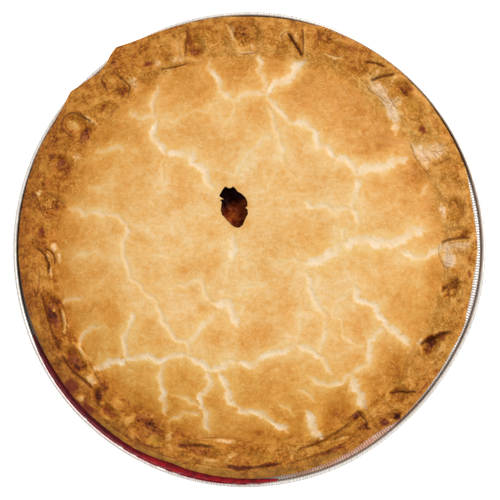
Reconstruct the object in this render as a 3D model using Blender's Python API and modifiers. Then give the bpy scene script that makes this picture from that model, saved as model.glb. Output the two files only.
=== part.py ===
"""A baked fruit pie, whole and uncut, in the fluted foil tin that it is sold in.

The crust is one solid. It fills the tin, domes into a lid and ends in a rim pressed down by thumb,
with folded corners, one steam vent and the cracks that baking opened. The filling shows at the
bottom of the vent, and juice has leaked on to the tin's flange. The pie's middle is the origin,
on the surface that the tin stands on. Lengths below are in millimetres, angles in degrees, taken
anticlockwise from +X as seen from above.
"""

import math

import bmesh
import bpy
import numpy as np
from mathutils import Matrix, Vector, noise

MM = 0.001
PIE_NAME = "fruit_pie"

# Foil tin
TIN_RADIUS = 115.0
FOIL = 0.35
BEAD_RADIUS = 1.0
BEAD_HEIGHT = 27.9
FLANGE_HEIGHT = 26.6
FLANGE_OUTER = 112.7
FLANGE_INNER = 108.2
WALL_TOP = (107.2, 25.9)
WALL_BOTTOM = (89.6, 1.4)
FOOT_OUTER = 88.0
FOOT_INNER = 80.5
PANEL_RADIUS = 78.5
PANEL_RISE = 0.5
FLUTES = 80
FLUTE_DEPTH = 0.7
RIB_HEIGHT = 0.3

# The tin isn't quite round: angle, half width, steepness of the bulge's sides, bulge
TIN_BULGES = [(320.0, 21.0, 2.5, -1.8), (238.0, 38.0, 4.0, 1.1), (97.0, 25.0, 4.0, 0.65)]

# Gap between touching solids
GAP = 0.3
WALL_GAP = FLUTE_DEPTH + GAP + 0.25
CRUST_BASE = PANEL_RISE + FOIL + GAP

# Crust
LID_TOP = 39.0
LID_POWER = 4.5
VALLEY_RADIUS = 95.5
VALLEY_HEIGHT = 29.3
RIM_TOP = 32.3
RIM_DROP_INSIDE = 1.8
RIM_DROP_OUTSIDE = 1.7
RIM_POWER = 2.6
VALLEY_SOFTNESS = 0.5
EDGE_UNDERSIDE = 28.0
EDGE_THICKNESS = 0.7
LID_LUMP = 0.7
LID_LUMP_LENGTH = 30.0
RIM_LUMP = 0.45
RIM_LUMP_LENGTH = 9.0
LATTICE_RINGS = 120
CRUST_TRIANGLES = 5900

# The crust's edge, as (angle, radius): two flaps hang over the tin at 123 and 139 degrees
CRUST_EDGE = [
    (0, 110.6), (7, 110.1), (12, 110.2), (16, 110.9), (20, 111.9), (28, 112.1), (36, 112.3),
    (41, 112.8), (46, 112.6), (50, 113.3), (68, 113.3), (71.5, 113.9), (74, 113.2), (84, 113.0),
    (92, 112.9), (96, 113.6), (104, 113.7), (110, 114.2), (116, 114.8), (120, 115.9), (123.4, 117.6),
    (125.6, 116.0), (128, 113.6), (130.5, 112.6), (133, 113.5), (136, 114.5), (138.6, 115.8),
    (142, 114.1), (146, 113.0), (155, 112.9), (162, 112.5), (172, 112.2), (182, 112.0),
    (188, 111.7), (200, 111.4), (214, 111.2), (222, 111.5), (230, 111.2), (240, 111.4),
    (246, 110.8), (250, 110.1), (254, 110.7), (262, 111.0), (270, 111.1), (277, 110.9),
    (284, 110.5), (290, 110.2), (297, 109.4), (303, 108.3), (306.5, 108.4), (309, 109.3),
    (312, 110.1), (316, 109.8), (325, 109.6), (334, 109.7), (338, 110.3), (341, 110.5),
    (344, 109.6), (352, 109.5), (357, 110.1),
]

# Thumb dents round the rim: angle, width in degrees, inner radius, outer radius, depth
CRIMPS = [
    (4.2, 4.0, 97.5, 107.5, 1.1), (11.4, 8.0, 94.2, 106.0, 1.9), (18.0, 6.0, 97.0, 108.0, 0.9),
    (27.5, 9.0, 92.6, 108.5, 1.5), (34.6, 4.0, 98.0, 106.0, 0.8), (41.0, 7.0, 99.4, 110.0, 1.7),
    (46.8, 5.0, 103.0, 111.5, 1.5), (57.0, 4.5, 105.0, 111.5, 0.9), (67.2, 7.5, 101.6, 109.6, 1.6),
    (83.0, 5.0, 99.0, 111.0, 0.6), (90.6, 7.5, 95.6, 111.5, 1.9), (98.8, 5.0, 97.0, 108.0, 0.7),
    (105.4, 6.0, 95.6, 107.5, 1.8), (113.6, 4.0, 98.5, 103.5, 0.7), (119.0, 5.0, 100.0, 106.0, 0.8),
    (129.3, 5.4, 94.6, 110.6, 2.6), (136.0, 5.0, 95.4, 101.0, 0.9), (144.6, 6.4, 94.2, 110.0, 2.6),
    (155.6, 5.6, 94.6, 104.4, 2.3), (161.0, 4.5, 95.0, 104.0, 0.7), (167.6, 6.4, 91.4, 106.0, 1.2),
    (175.0, 4.0, 98.0, 104.0, 0.8), (182.2, 6.0, 95.0, 99.6, 1.0), (198.6, 13.0, 95.8, 103.6, 2.5),
    (212.8, 9.4, 95.8, 103.8, 2.5), (224.2, 4.4, 97.6, 105.0, 1.4), (229.2, 6.0, 101.0, 107.0, 1.3),
    (241.2, 10.6, 94.6, 107.4, 2.0), (256.2, 12.6, 96.8, 103.8, 2.1), (269.0, 9.0, 98.0, 105.2, 1.2),
    (280.6, 6.0, 98.4, 105.0, 0.9), (290.6, 13.0, 97.2, 100.6, 1.0), (296.0, 6.0, 100.5, 104.6, 0.7),
    (303.0, 3.8, 94.4, 99.4, 1.4), (309.4, 6.6, 104.0, 109.8, 1.6), (315.4, 5.4, 96.2, 104.4, 1.9),
    (324.0, 6.0, 97.0, 104.0, 0.9), (332.4, 6.0, 94.8, 103.4, 2.5), (341.5, 5.0, 96.0, 105.0, 0.7),
    (349.2, 6.4, 94.6, 103.8, 2.1), (354.6, 3.0, 98.0, 105.0, 0.8),
]
CRIMP_SQUARENESS = 2.2
CRIMP_LIP = 0.5
CRIMP_LIP_REACH = 1.2
CRIMP_LIP_WIDTH = 0.18

# Folds where the dough was tucked: (angle, radius) of both ends, flap height, crease depth.
# The flap lies on the left of the way from the first end to the second.
FOLDS = [
    ((2.9, 108.6), (1.6, 92.4), 1.0, 0.9), ((50.2, 111.2), (54.4, 100.4), 0.9, 1.5),
    ((59.0, 105.9), (53.0, 110.4), 0.7, 1.0), ((80.4, 107.7), (74.4, 96.8), 1.2, 1.6),
    ((179.2, 104.4), (184.6, 97.8), 0.7, 1.3), ((209.0, 104.4), (191.6, 103.6), 0.9, 1.2),
    ((222.4, 101.2), (208.4, 104.4), 1.1, 1.4), ((222.4, 98.8), (226.8, 105.8), 0.5, 0.9),
    ((260.4, 97.0), (249.4, 101.8), 0.5, 0.9), ((279.0, 104.6), (262.8, 105.4), 0.6, 0.9),
    ((301.0, 97.0), (283.0, 99.2), 0.5, 0.8), ((303.6, 103.4), (304.4, 94.4), 0.3, 0.9),
    ((314.0, 97.4), (319.9, 106.8), 0.8, 1.1), ((330.4, 94.7), (338.2, 107.0), 1.2, 1.7),
]
FLAP_REACH = 5.0
CREASE_WIDTH = 0.9

# The lid's cracks follow the photograph, which looks straight down on the pie. Each has its width
# and depth, then the pixels that it passes.
PHOTO_CENTRE = (249.5, 249.5)
PHOTO_TIN_RADIUS = 237.0
MM_PER_PIXEL = TIN_RADIUS / PHOTO_TIN_RADIUS
CRACKS = {
    "north": (2.4, 0.7, [(211, 60), (209, 69), (219, 82), (221, 92), (233, 100), (246, 94), (266, 96)]),
    "north_fork": (2.4, 0.7, [(260, 54), (258, 71), (267, 84), (266, 96)]),
    "north_east": (3.4, 1.0, [(305, 60), (294, 73), (281, 83), (266, 96), (279, 111), (289, 124)]),
    "east_steps": (2.8, 0.8, [(289, 124), (303, 123), (316, 139), (335, 158), (353, 167), (355, 176)]),
    "east_spur": (3.2, 0.9, [(355, 176), (369, 168), (382, 168), (407, 159)]),
    "east_drop": (2.8, 0.8, [(355, 176), (355, 192), (351, 208), (332, 211), (304, 202)]),
    "east_fork": (2.6, 0.7, [(351, 208), (359, 226)]),
    "middle": (2.2, 0.6, [(268, 108), (278, 134), (283, 148), (283, 167), (272, 182), (256, 193)]),
    "west_top": (2.6, 0.8, [(158, 84), (152, 115), (158, 122), (152, 134), (166, 156)]),
    "to_vent": (3.2, 0.9, [(166, 155), (192, 156), (192, 164), (205, 170), (206, 179), (214, 189)]),
    "east_river": (3.8, 1.0, [(303, 262), (325, 258), (342, 242), (366, 239), (389, 244), (425, 230)]),
    "far_east": (2.8, 0.8, [(401, 251), (420, 257), (442, 244)]),
    "below_river": (2.8, 0.8, [(305, 272), (309, 288), (314, 300), (329, 317), (321, 343), (321, 356)]),
    "south_east": (3.0, 0.9, [(354, 285), (356, 298), (371, 304), (385, 325), (410, 346)]),
    "south_east_fork": (2.6, 0.7, [(384, 328), (368, 342), (368, 364), (352, 371), (329, 385)]),
    "south_east_end": (3.6, 0.9, [(352, 374), (356, 389), (366, 408)]),
    "south_spur": (3.4, 0.9, [(306, 410), (314, 430), (322, 438)]),
    "west": (2.4, 0.7, [(69, 209), (84, 215), (119, 216), (128, 224), (124, 247), (130, 278)]),
    "west_down": (2.4, 0.7, [(130, 278), (147, 293), (159, 302), (171, 331), (189, 345), (188, 356)]),
    "south_west": (2.4, 0.7, [(133, 310), (133, 320), (124, 338), (126, 361)]),
    "south_belt": (3.0, 0.8, [(94, 371), (119, 360), (147, 356), (188, 356), (220, 369), (267, 354)]),
    "south_belt_end": (3.0, 0.8, [(267, 354), (285, 351), (297, 342), (316, 355), (332, 374)]),
    "south_left": (2.4, 0.6, [(167, 360), (161, 371), (164, 410)]),
    "south_mid": (2.6, 0.7, [(208, 369), (211, 382), (201, 394), (201, 406), (211, 431)]),
    "south_tail": (2.8, 0.7, [(221, 370), (229, 401), (241, 411), (260, 413), (289, 433)]),
    "under_vent": (3.4, 0.8, [(233, 234), (234, 247), (235, 260)]),
    "south_branch": (2.6, 0.7, [(169, 290), (201, 280), (211, 302), (229, 304), (239, 327)]),
    "south_link": (2.4, 0.6, [(216, 311), (201, 327), (189, 345)]),
}

# Steam vent, an egg that leans, and the filling that shows in it
VENT_PIXEL = (233.6, 207.4)
VENT_HALF_WIDTH = 6.8
VENT_HALF_LENGTH = 9.9
VENT_LEAN = 14.0
VENT_TAPER = 0.22
VENT_FLOOR = 25.8
VENT_FLARE = 1.06
VENT_SIDES = 28
FILLING_LEVEL = 28.0
FILLING_LUMP = 0.7
FILLING_LUMP_LENGTH = 6.0
FILLING_RINGS = 5

# Juice that leaked on to the flange: from one angle to the other, and its thickness
JUICE_START = 202.0
JUICE_END = 276.0
JUICE_BOTTOM = FLANGE_HEIGHT + RIB_HEIGHT + GAP
JUICE_DEPTH = 0.9
JUICE_STEPS = 44
JUICE_END_WIDTH = 0.7

SHELL_COLOURS = {
    "foil_tin": ((0.72, 0.72, 0.74), 0.28, 1.0),
    "pie_crust": ((0.75, 0.42, 0.15), 0.62, 0.0),
    "fruit_filling": ((0.10, 0.012, 0.006), 0.18, 0.0),
    "leaked_juice": ((0.22, 0.008, 0.014), 0.12, 0.0),
}


def from_photo(pixel):
    """The millimetres, from the pie's middle, of a pixel of the photograph."""
    return (
        (pixel[0] - PHOTO_CENTRE[0]) * MM_PER_PIXEL,
        (PHOTO_CENTRE[1] - pixel[1]) * MM_PER_PIXEL,
    )


def smooth_step(low, high, value):
    share = np.clip((value - low) / (high - low), 0.0, 1.0)
    return share * share * (3.0 - 2.0 * share)


def tin_stretch(degrees):
    """How much wider than round the tin is at each angle."""
    bulge = np.zeros_like(degrees)
    for angle, half_width, steepness, amount in TIN_BULGES:
        away = np.abs((degrees - angle + 180.0) % 360.0 - 180.0)
        bulge += amount * np.exp(-((away / half_width) ** steepness))
    return 1.0 + bulge / TIN_RADIUS


def crust_edge_radius(degrees):
    angles = [angle for angle, _ in CRUST_EDGE]
    radii = [radius for _, radius in CRUST_EDGE]
    return np.interp(degrees, angles, radii, period=360.0)


def lumps(x, y, length, seed):
    """Smooth bumps between -1 and 1 with about the given length, from seeded noise."""
    return np.array([
        noise.noise(Vector((px / length, py / length, seed))) for px, py in zip(x, y)
    ])


def along_segment(x, y, start, end):
    """For each point, its distance from a segment, its side and its share of the way along."""
    dx, dy = end[0] - start[0], end[1] - start[1]
    length = math.hypot(dx, dy)
    share = np.clip(((x - start[0]) * dx + (y - start[1]) * dy) / length**2, 0.0, 1.0)
    off_x, off_y = x - start[0] - share * dx, y - start[1] - share * dy
    side = (dx * off_y - dy * off_x) / length
    return np.hypot(off_x, off_y), side, share


def crimp_relief(radius, degrees):
    relief = np.zeros_like(radius)
    for angle, width, inner, outer, depth in CRIMPS:
        turn = (degrees - angle + 180.0) % 360.0 - 180.0
        middle, half_length = (inner + outer) / 2, (outer - inner) / 2
        half_width = math.radians(width / 2) * middle
        across = np.radians(turn) * radius / half_width
        along = (radius - middle) / half_length
        power = CRIMP_SQUARENESS
        reach = (np.abs(across) ** power + np.abs(along) ** power) ** (1 / power)
        relief -= depth * (1.0 - smooth_step(0.45, 1.05, reach))
        lip = CRIMP_LIP * min(depth, 1.5) / 1.5
        relief += lip * np.exp(-(((reach - CRIMP_LIP_REACH) / CRIMP_LIP_WIDTH) ** 2))
    return relief


def fold_relief(x, y):
    relief = np.zeros_like(x)
    for first, second, flap, crease in FOLDS:
        ends = [
            (radius * math.cos(math.radians(angle)), radius * math.sin(math.radians(angle)))
            for angle, radius in (first, second)
        ]
        distance, side, share = along_segment(x, y, *ends)
        fade = smooth_step(0.0, 0.25, share) * smooth_step(0.0, 0.25, 1.0 - share)
        beside = np.where(side > 0, 1.0 - smooth_step(0.6, FLAP_REACH, distance), 0.0)
        relief += fade * (flap * beside - crease * np.exp(-((distance / CREASE_WIDTH) ** 2)))
    return relief


def crack_relief(x, y):
    """Grooves along the cracks. Where two meet, the deeper one counts."""
    relief = np.zeros_like(x)
    for width, depth, pixels in CRACKS.values():
        route = [from_photo(pixel) for pixel in pixels]
        nearest = np.full_like(x, np.inf)
        for start, end in zip(route, route[1:]):
            nearest = np.minimum(nearest, along_segment(x, y, start, end)[0])
        groove = -depth * (1.0 - smooth_step(0.15, 1.0, nearest / (width / 2)))
        relief = np.minimum(relief, groove)
    return relief


def crust_height(x, y):
    """The height of the crust's top at each point."""
    radius, degrees = np.hypot(x, y), np.degrees(np.arctan2(y, x)) % 360.0
    edge = crust_edge_radius(degrees)
    lid = LID_TOP - (LID_TOP - VALLEY_HEIGHT) * (radius / VALLEY_RADIUS) ** LID_POWER
    lid += LID_LUMP * lumps(x, y, LID_LUMP_LENGTH, 3.0) * (1.0 - smooth_step(70, 95, radius))
    rim_middle, rim_half = (VALLEY_RADIUS + edge) / 2, (edge - VALLEY_RADIUS) / 2
    off_middle = (radius - rim_middle) / rim_half
    drop = np.where(off_middle < 0, RIM_DROP_INSIDE, RIM_DROP_OUTSIDE)
    rim = RIM_TOP - drop * np.abs(off_middle) ** RIM_POWER
    rim += RIM_LUMP * lumps(x, y, RIM_LUMP_LENGTH, 8.0)
    height = VALLEY_SOFTNESS * np.logaddexp(lid / VALLEY_SOFTNESS, rim / VALLEY_SOFTNESS)
    on_rim = smooth_step(VALLEY_RADIUS - 6.0, VALLEY_RADIUS, radius)
    height += on_rim * (crimp_relief(radius, degrees) + fold_relief(x, y))
    height += crack_relief(x, y)
    edge_floor = bead_clearance(edge) + EDGE_THICKNESS
    return np.maximum(height, edge_floor * smooth_step(edge - 2.0, edge, radius))


def bead_clearance(edge):
    """How high the crust's underside is at its edge: over the bead only where it reaches it."""
    over_bead = smooth_step(FLANGE_OUTER - 1.1, FLANGE_OUTER - 0.3, edge)
    return EDGE_UNDERSIDE + (BEAD_HEIGHT + BEAD_RADIUS + GAP - EDGE_UNDERSIDE) * over_bead


def add_lattice_disc(name, rings):
    """A flat disc of radius 1 with an even triangular lattice, from a hexagon's six triangles."""
    bpy.ops.mesh.primitive_circle_add(vertices=6, radius=1.0, fill_type="TRIFAN")
    disc = bpy.context.object
    disc.name = disc.data.name = name
    bm = bmesh.new()
    bm.from_mesh(disc.data)
    bmesh.ops.subdivide_edges(bm, edges=bm.edges[:], cuts=rings - 1, use_grid_fill=True)
    bmesh.ops.triangulate(bm, faces=bm.faces[:])
    sector = math.radians(60)
    for vertex in bm.verts:
        turn = (math.atan2(vertex.co.y, vertex.co.x) + sector / 2) % sector - sector / 2
        vertex.co *= math.cos(turn) / math.cos(sector / 2)
    bm.to_mesh(disc.data)
    bm.free()
    return disc


def mesh_points(item):
    points = np.empty(len(item.data.vertices) * 3)
    item.data.vertices.foreach_get("co", points)
    return points.reshape(-1, 3)


def set_mesh_points(item, points):
    item.data.vertices.foreach_set("co", points.ravel())
    item.data.update()


def apply_modifier(item, kind, **settings):
    modifier = item.modifiers.new(kind.title(), kind)
    for name, value in settings.items():
        setattr(modifier, name, value)
    bpy.ops.object.select_all(action="DESELECT")
    item.select_set(True)
    bpy.context.view_layer.objects.active = item
    bpy.ops.object.modifier_apply(modifier=modifier.name)


def add_skirt(item, levels):
    """Closes an open disc from below: its border goes down ring by ring, then is filled.

    Each level is a function that gives a border point its new place."""
    bm = bmesh.new()
    bm.from_mesh(item.data)
    border = [edge for edge in bm.edges if edge.is_boundary]
    for level in levels:
        made = bmesh.ops.extrude_edge_only(bm, edges=border)["geom"]
        border = [part for part in made if isinstance(part, bmesh.types.BMEdge) and part.is_boundary]
        for vertex in {vertex for edge in border for vertex in edge.verts}:
            vertex.co = Vector(level(vertex.co))
    bmesh.ops.edgeloop_fill(bm, edges=border)
    bmesh.ops.triangulate(bm, faces=[face for face in bm.faces if len(face.verts) > 3])
    bmesh.ops.recalc_face_normals(bm, faces=bm.faces[:])
    bm.to_mesh(item.data)
    bm.free()


def finish(item, collection):
    """Metres, a smooth surface with crisp folds, the part's own material and its collection."""
    item.data.transform(Matrix.Scale(MM, 4))
    item.data.shade_smooth()
    item.data.set_sharp_from_angle(angle=math.radians(50))
    colour, roughness, metallic = SHELL_COLOURS[item.name]
    material = bpy.data.materials.new(item.name)
    material.use_nodes = True
    shader = material.node_tree.nodes["Principled BSDF"]
    shader.inputs["Base Color"].default_value = (*colour, 1.0)
    shader.inputs["Roughness"].default_value = roughness
    shader.inputs["Metallic"].default_value = metallic
    item.data.materials.append(material)
    move_to(item, collection)


def move_to(item, collection):
    for owner in list(item.users_collection):
        owner.objects.unlink(item)
    collection.objects.link(item)


def tin_profile():
    """The food side of the foil, as (radius, height), from the middle out and over the bead."""
    bead_middle = TIN_RADIUS - BEAD_RADIUS
    points = [
        (0.0, PANEL_RISE + FOIL), (PANEL_RADIUS, PANEL_RISE + FOIL), (FOOT_INNER, FOIL),
        (FOOT_OUTER, FOIL), WALL_BOTTOM, WALL_TOP, (FLANGE_INNER, FLANGE_HEIGHT),
        (FLANGE_OUTER, FLANGE_HEIGHT),
    ]
    for degrees in (180, 120, 60, 0, -60):
        turn = math.radians(degrees)
        points.append((
            bead_middle + BEAD_RADIUS * math.cos(turn),
            BEAD_HEIGHT + BEAD_RADIUS * math.sin(turn),
        ))
    return points


def make_tin(collection):
    profile = tin_profile()
    edges = [(first, first + 1) for first in range(len(profile) - 1)]
    mesh = bpy.data.meshes.new("foil_tin")
    mesh.from_pydata([(radius, 0.0, height) for radius, height in profile], edges, [])
    tin = bpy.data.objects.new("foil_tin", mesh)
    bpy.context.scene.collection.objects.link(tin)
    apply_modifier(
        tin, "SCREW", steps=FLUTES, render_steps=FLUTES, use_merge_vertices=True,
        merge_threshold=0.0001, use_normal_calculate=True,
    )
    bm = bmesh.new()
    bm.from_mesh(tin.data)
    bmesh.ops.remove_doubles(bm, verts=bm.verts[:], dist=0.001)

    def is_fluted(edge):
        radii = [vertex.co.xy.length for vertex in edge.verts]
        level = abs(edge.verts[0].co.z - edge.verts[1].co.z) < 0.01
        fluted = WALL_BOTTOM[0] - 0.1 < min(radii) and max(radii) < FLANGE_OUTER + 0.1
        return level and fluted and abs(radii[0] - radii[1]) < 0.01

    bmesh.ops.subdivide_edges(
        bm, edges=[edge for edge in bm.edges if is_fluted(edge)], cuts=1, use_grid_fill=True
    )
    bmesh.ops.triangulate(bm, faces=bm.faces[:])
    bmesh.ops.recalc_face_normals(bm, faces=bm.faces[:])
    if max(bm.faces, key=lambda face: face.calc_center_median().z).normal.z < 0:
        bmesh.ops.reverse_faces(bm, faces=bm.faces[:])
    bm.to_mesh(tin.data)
    bm.free()

    points = mesh_points(tin)
    radius, turn = np.hypot(points[:, 0], points[:, 1]), np.arctan2(points[:, 1], points[:, 0])
    wave = np.cos(FLUTES * turn)
    polygon = np.where(wave < 0, 1.0 / math.cos(math.pi / FLUTES), 1.0)
    on_wall = smooth_step(FOOT_OUTER, WALL_BOTTOM[0] + 0.4, radius) * (radius < FLANGE_INNER - 0.1)
    on_flange = (radius > FLANGE_INNER - 0.1) & (radius < FLANGE_OUTER + 0.1)
    out = np.where(on_wall + on_flange > 0, polygon, 1.0)
    out += on_wall * FLUTE_DEPTH * wave / np.maximum(radius, 1.0)
    points[:, :2] *= (out * tin_stretch(np.degrees(turn) % 360.0))[:, None]
    points[:, 2] += np.where(on_flange, RIB_HEIGHT * wave, 0.0)
    set_mesh_points(tin, points)
    apply_modifier(tin, "SOLIDIFY", thickness=FOIL, offset=-1.0, use_even_offset=True)
    finish(tin, collection)
    return tin


def vent_outline(scale, points):
    """Turns points of a unit disc into the leaning egg of the vent, in millimetres."""
    middle = from_photo(VENT_PIXEL)
    lean = math.radians(VENT_LEAN)
    along = points[:, 1]
    across = points[:, 0] * (1.0 + VENT_TAPER * along)
    turn = np.arctan2(points[:, 1], points[:, 0])
    ragged = 1.0 + 0.035 * np.sin(5.0 * turn + 0.6) + 0.025 * np.sin(9.0 * turn)
    x = across * VENT_HALF_WIDTH * scale * ragged
    y = along * VENT_HALF_LENGTH * scale * ragged
    placed = points.copy()
    placed[:, 0] = middle[0] + x * math.cos(lean) - y * math.sin(lean)
    placed[:, 1] = middle[1] + x * math.sin(lean) + y * math.cos(lean)
    return placed


def make_vent_cutter(collection):
    top = LID_TOP + 4.0
    bpy.ops.mesh.primitive_cylinder_add(vertices=VENT_SIDES, radius=1.0, depth=top - VENT_FLOOR)
    cutter = bpy.context.object
    cutter.name = "vent_cutter"
    points = mesh_points(cutter)
    low = points[:, 2] < 0
    placed = vent_outline(1.0, points)
    wide = vent_outline(VENT_FLARE, points)
    placed[low] = wide[low]
    placed[:, 2] = np.where(low, VENT_FLOOR, top)
    set_mesh_points(cutter, placed)
    cutter.data.transform(Matrix.Scale(MM, 4))
    cutter.hide_render = True
    cutter.display_type = "WIRE"
    move_to(cutter, collection)
    return cutter


def make_crust(collection, cutter):
    crust = add_lattice_disc("pie_crust", LATTICE_RINGS)
    points = mesh_points(crust)
    degrees = np.degrees(np.arctan2(points[:, 1], points[:, 0])) % 360.0
    points[:, :2] *= crust_edge_radius(degrees)[:, None]
    points[:, 2] = crust_height(points[:, 0], points[:, 1])
    set_mesh_points(crust, points)
    apply_modifier(crust, "DECIMATE", ratio=CRUST_TRIANGLES / len(crust.data.polygons))

    flange_floor = FLANGE_HEIGHT + RIB_HEIGHT + GAP + 0.05

    def level(inset, height, widest):
        def place(point):
            edge = point.xy.length
            turn = np.array(math.degrees(math.atan2(point.y, point.x)) % 360.0)
            radius = min(edge - inset, widest * float(tin_stretch(turn)))
            turned = point.xy.normalized() * radius
            floor = height if height is not None else float(bead_clearance(np.array(edge)))
            return (turned.x, turned.y, floor)
        return place

    add_skirt(crust, [
        level(0.25, None, TIN_RADIUS * 2),
        level(0.5, None, FLANGE_OUTER - GAP - 0.1),
        level(0.5, flange_floor, FLANGE_OUTER - GAP - 0.2),
        level(0.5, flange_floor, WALL_TOP[0] - WALL_GAP),
        level(0.0, CRUST_BASE + 0.9, WALL_BOTTOM[0] - WALL_GAP),
        level(0.0, CRUST_BASE, FOOT_OUTER - WALL_GAP),
    ])
    finish(crust, collection)
    cut = crust.modifiers.new("Steam vent", "BOOLEAN")
    cut.operation = "DIFFERENCE"
    cut.solver = "EXACT"
    cut.object = cutter
    return crust


def make_filling(collection):
    filling = add_lattice_disc("fruit_filling", FILLING_RINGS)
    points = vent_outline(1.0 - (GAP + 0.1) / VENT_HALF_WIDTH, mesh_points(filling))
    points[:, 2] = FILLING_LEVEL + FILLING_LUMP * lumps(
        points[:, 0], points[:, 1], FILLING_LUMP_LENGTH, 5.0
    )
    set_mesh_points(filling, points)
    add_skirt(filling, [lambda point: (point.x, point.y, VENT_FLOOR + GAP)])
    finish(filling, collection)
    return filling


def make_juice(collection):
    """A crescent pool between the crust's edge and the tin's bead, narrow at both ends."""
    bpy.ops.mesh.primitive_grid_add(x_subdivisions=JUICE_STEPS, y_subdivisions=2, size=2.0)
    juice = bpy.context.object
    juice.name = juice.data.name = "leaked_juice"
    points = mesh_points(juice)
    along, across = (points[:, 0] + 1) / 2, (points[:, 1] + 1) / 2
    degrees = JUICE_START + (JUICE_END - JUICE_START) * along
    outer = (FLANGE_OUTER - GAP) * tin_stretch(degrees)
    inner = crust_edge_radius(degrees) + GAP
    full = np.maximum(outer - inner, JUICE_END_WIDTH)
    width = JUICE_END_WIDTH + (full - JUICE_END_WIDTH) * np.sin(math.pi * along) ** 0.35
    radius = outer - width * (1.0 - across)
    turn = np.radians(degrees)
    points[:, 0], points[:, 1] = radius * np.cos(turn), radius * np.sin(turn)
    points[:, 2] = JUICE_BOTTOM
    set_mesh_points(juice, points)
    bm = bmesh.new()
    bm.from_mesh(juice.data)
    lifted = bmesh.ops.extrude_face_region(bm, geom=bm.faces[:])["geom"]
    for part in lifted:
        if isinstance(part, bmesh.types.BMVert):
            part.co.z += JUICE_DEPTH
    bmesh.ops.triangulate(bm, faces=bm.faces[:])
    bmesh.ops.recalc_face_normals(bm, faces=bm.faces[:])
    bm.to_mesh(juice.data)
    bm.free()
    finish(juice, collection)
    return juice


def main():
    for item in list(bpy.data.objects):
        bpy.data.objects.remove(item)
    pie = bpy.data.collections.new(PIE_NAME)
    cutters = bpy.data.collections.new("cutters")
    bpy.context.scene.collection.children.link(pie)
    bpy.context.scene.collection.children.link(cutters)
    cutter = make_vent_cutter(cutters)
    make_tin(pie)
    make_crust(pie, cutter)
    make_filling(pie)
    make_juice(pie)


main()
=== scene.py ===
import math
import random

import bpy
import numpy as np
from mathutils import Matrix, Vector, kdtree, noise


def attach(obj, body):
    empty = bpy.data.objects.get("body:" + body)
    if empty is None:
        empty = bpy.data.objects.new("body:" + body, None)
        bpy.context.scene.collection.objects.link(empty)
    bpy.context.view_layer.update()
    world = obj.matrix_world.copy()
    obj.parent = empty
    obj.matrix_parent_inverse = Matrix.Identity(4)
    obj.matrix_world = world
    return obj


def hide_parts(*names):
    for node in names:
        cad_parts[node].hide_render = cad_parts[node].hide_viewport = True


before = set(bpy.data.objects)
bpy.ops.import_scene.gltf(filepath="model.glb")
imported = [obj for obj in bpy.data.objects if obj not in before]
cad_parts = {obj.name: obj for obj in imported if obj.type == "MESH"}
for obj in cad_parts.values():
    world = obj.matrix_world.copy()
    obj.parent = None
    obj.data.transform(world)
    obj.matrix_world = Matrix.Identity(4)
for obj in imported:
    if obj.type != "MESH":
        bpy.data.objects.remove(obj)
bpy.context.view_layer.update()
bpy.ops.object.select_all(action="DESELECT")
print("frame loaded")

# The work below is in millimetres, and each finished mesh is brought to metres
mm = 0.001
photo = {"centre": (249.5, 249.5), "tinRadius": 237.0, "size": 500.0}
tinRadius = 115.0
mmPerPixel = tinRadius / photo["tinRadius"]


# Small helpers

def fromPhoto(pixel):  # millimetres from the pie's middle
    return (
        (pixel[0] - photo["centre"][0]) * mmPerPixel,
        (photo["centre"][1] - pixel[1]) * mmPerPixel,
    )


def atAngle(degrees, radius):
    turn = math.radians(degrees)
    return radius * math.cos(turn), radius * math.sin(turn)


def smoothStep(low, high, value):
    share = np.clip((value - low) / (high - low), 0.0, 1.0)
    return share * share * (3.0 - 2.0 * share)


def fadeOut(low, high, value):
    return 1.0 - smoothStep(low, high, value)


def degreesOf(x, y):
    return np.degrees(np.arctan2(y, x)) % 360.0


def awayFrom(degrees, angle):  # degrees between them, the shorter way round
    return np.abs((degrees - angle + 180.0) % 360.0 - 180.0)


def lumps(x, y, length, seed):  # smooth bumps from -1 to 1, about that long
    return np.array([noise.noise(Vector((px / length, py / length, seed))) for px, py in zip(x, y)])


def tone(red, green, blue):  # a screen colour as Blender's linear one
    parts = [part / 255.0 for part in (red, green, blue)]
    linear = [p / 12.92 if p < 0.04045 else ((p + 0.055) / 1.055) ** 2.4 for p in parts]
    return (*linear, 1.0)


def pointsOf(item):
    points = np.empty(len(item.data.vertices) * 3)
    item.data.vertices.foreach_get("co", points)
    return points.reshape(-1, 3)


def setPoints(item, points):
    item.data.vertices.foreach_set("co", points.ravel())
    item.data.update()


def setMask(item, name, values):  # a number at each point, for the material to read
    mask = item.data.attributes.new(name, "FLOAT", "POINT")
    mask.data.foreach_set("value", np.asarray(values, dtype=np.float32))


def only(item):
    bpy.ops.object.select_all(action="DESELECT")
    item.select_set(True)
    bpy.context.view_layer.objects.active = item


def applyModifier(item, kind, **settings):
    only(item)
    modifier = item.modifiers.new(kind.title(), kind)
    for name, value in settings.items():
        setattr(modifier, name, value)
    bpy.ops.object.modifier_apply(modifier=modifier.name)


def toMetres(item, smoothAngle=40.0):
    setPoints(item, pointsOf(item) * mm)
    only(item)
    bpy.ops.object.shade_smooth_by_angle(angle=math.radians(smoothAngle))
    print(item.name, "triangles:", sum(len(face.vertices) - 2 for face in item.data.polygons))


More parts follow.
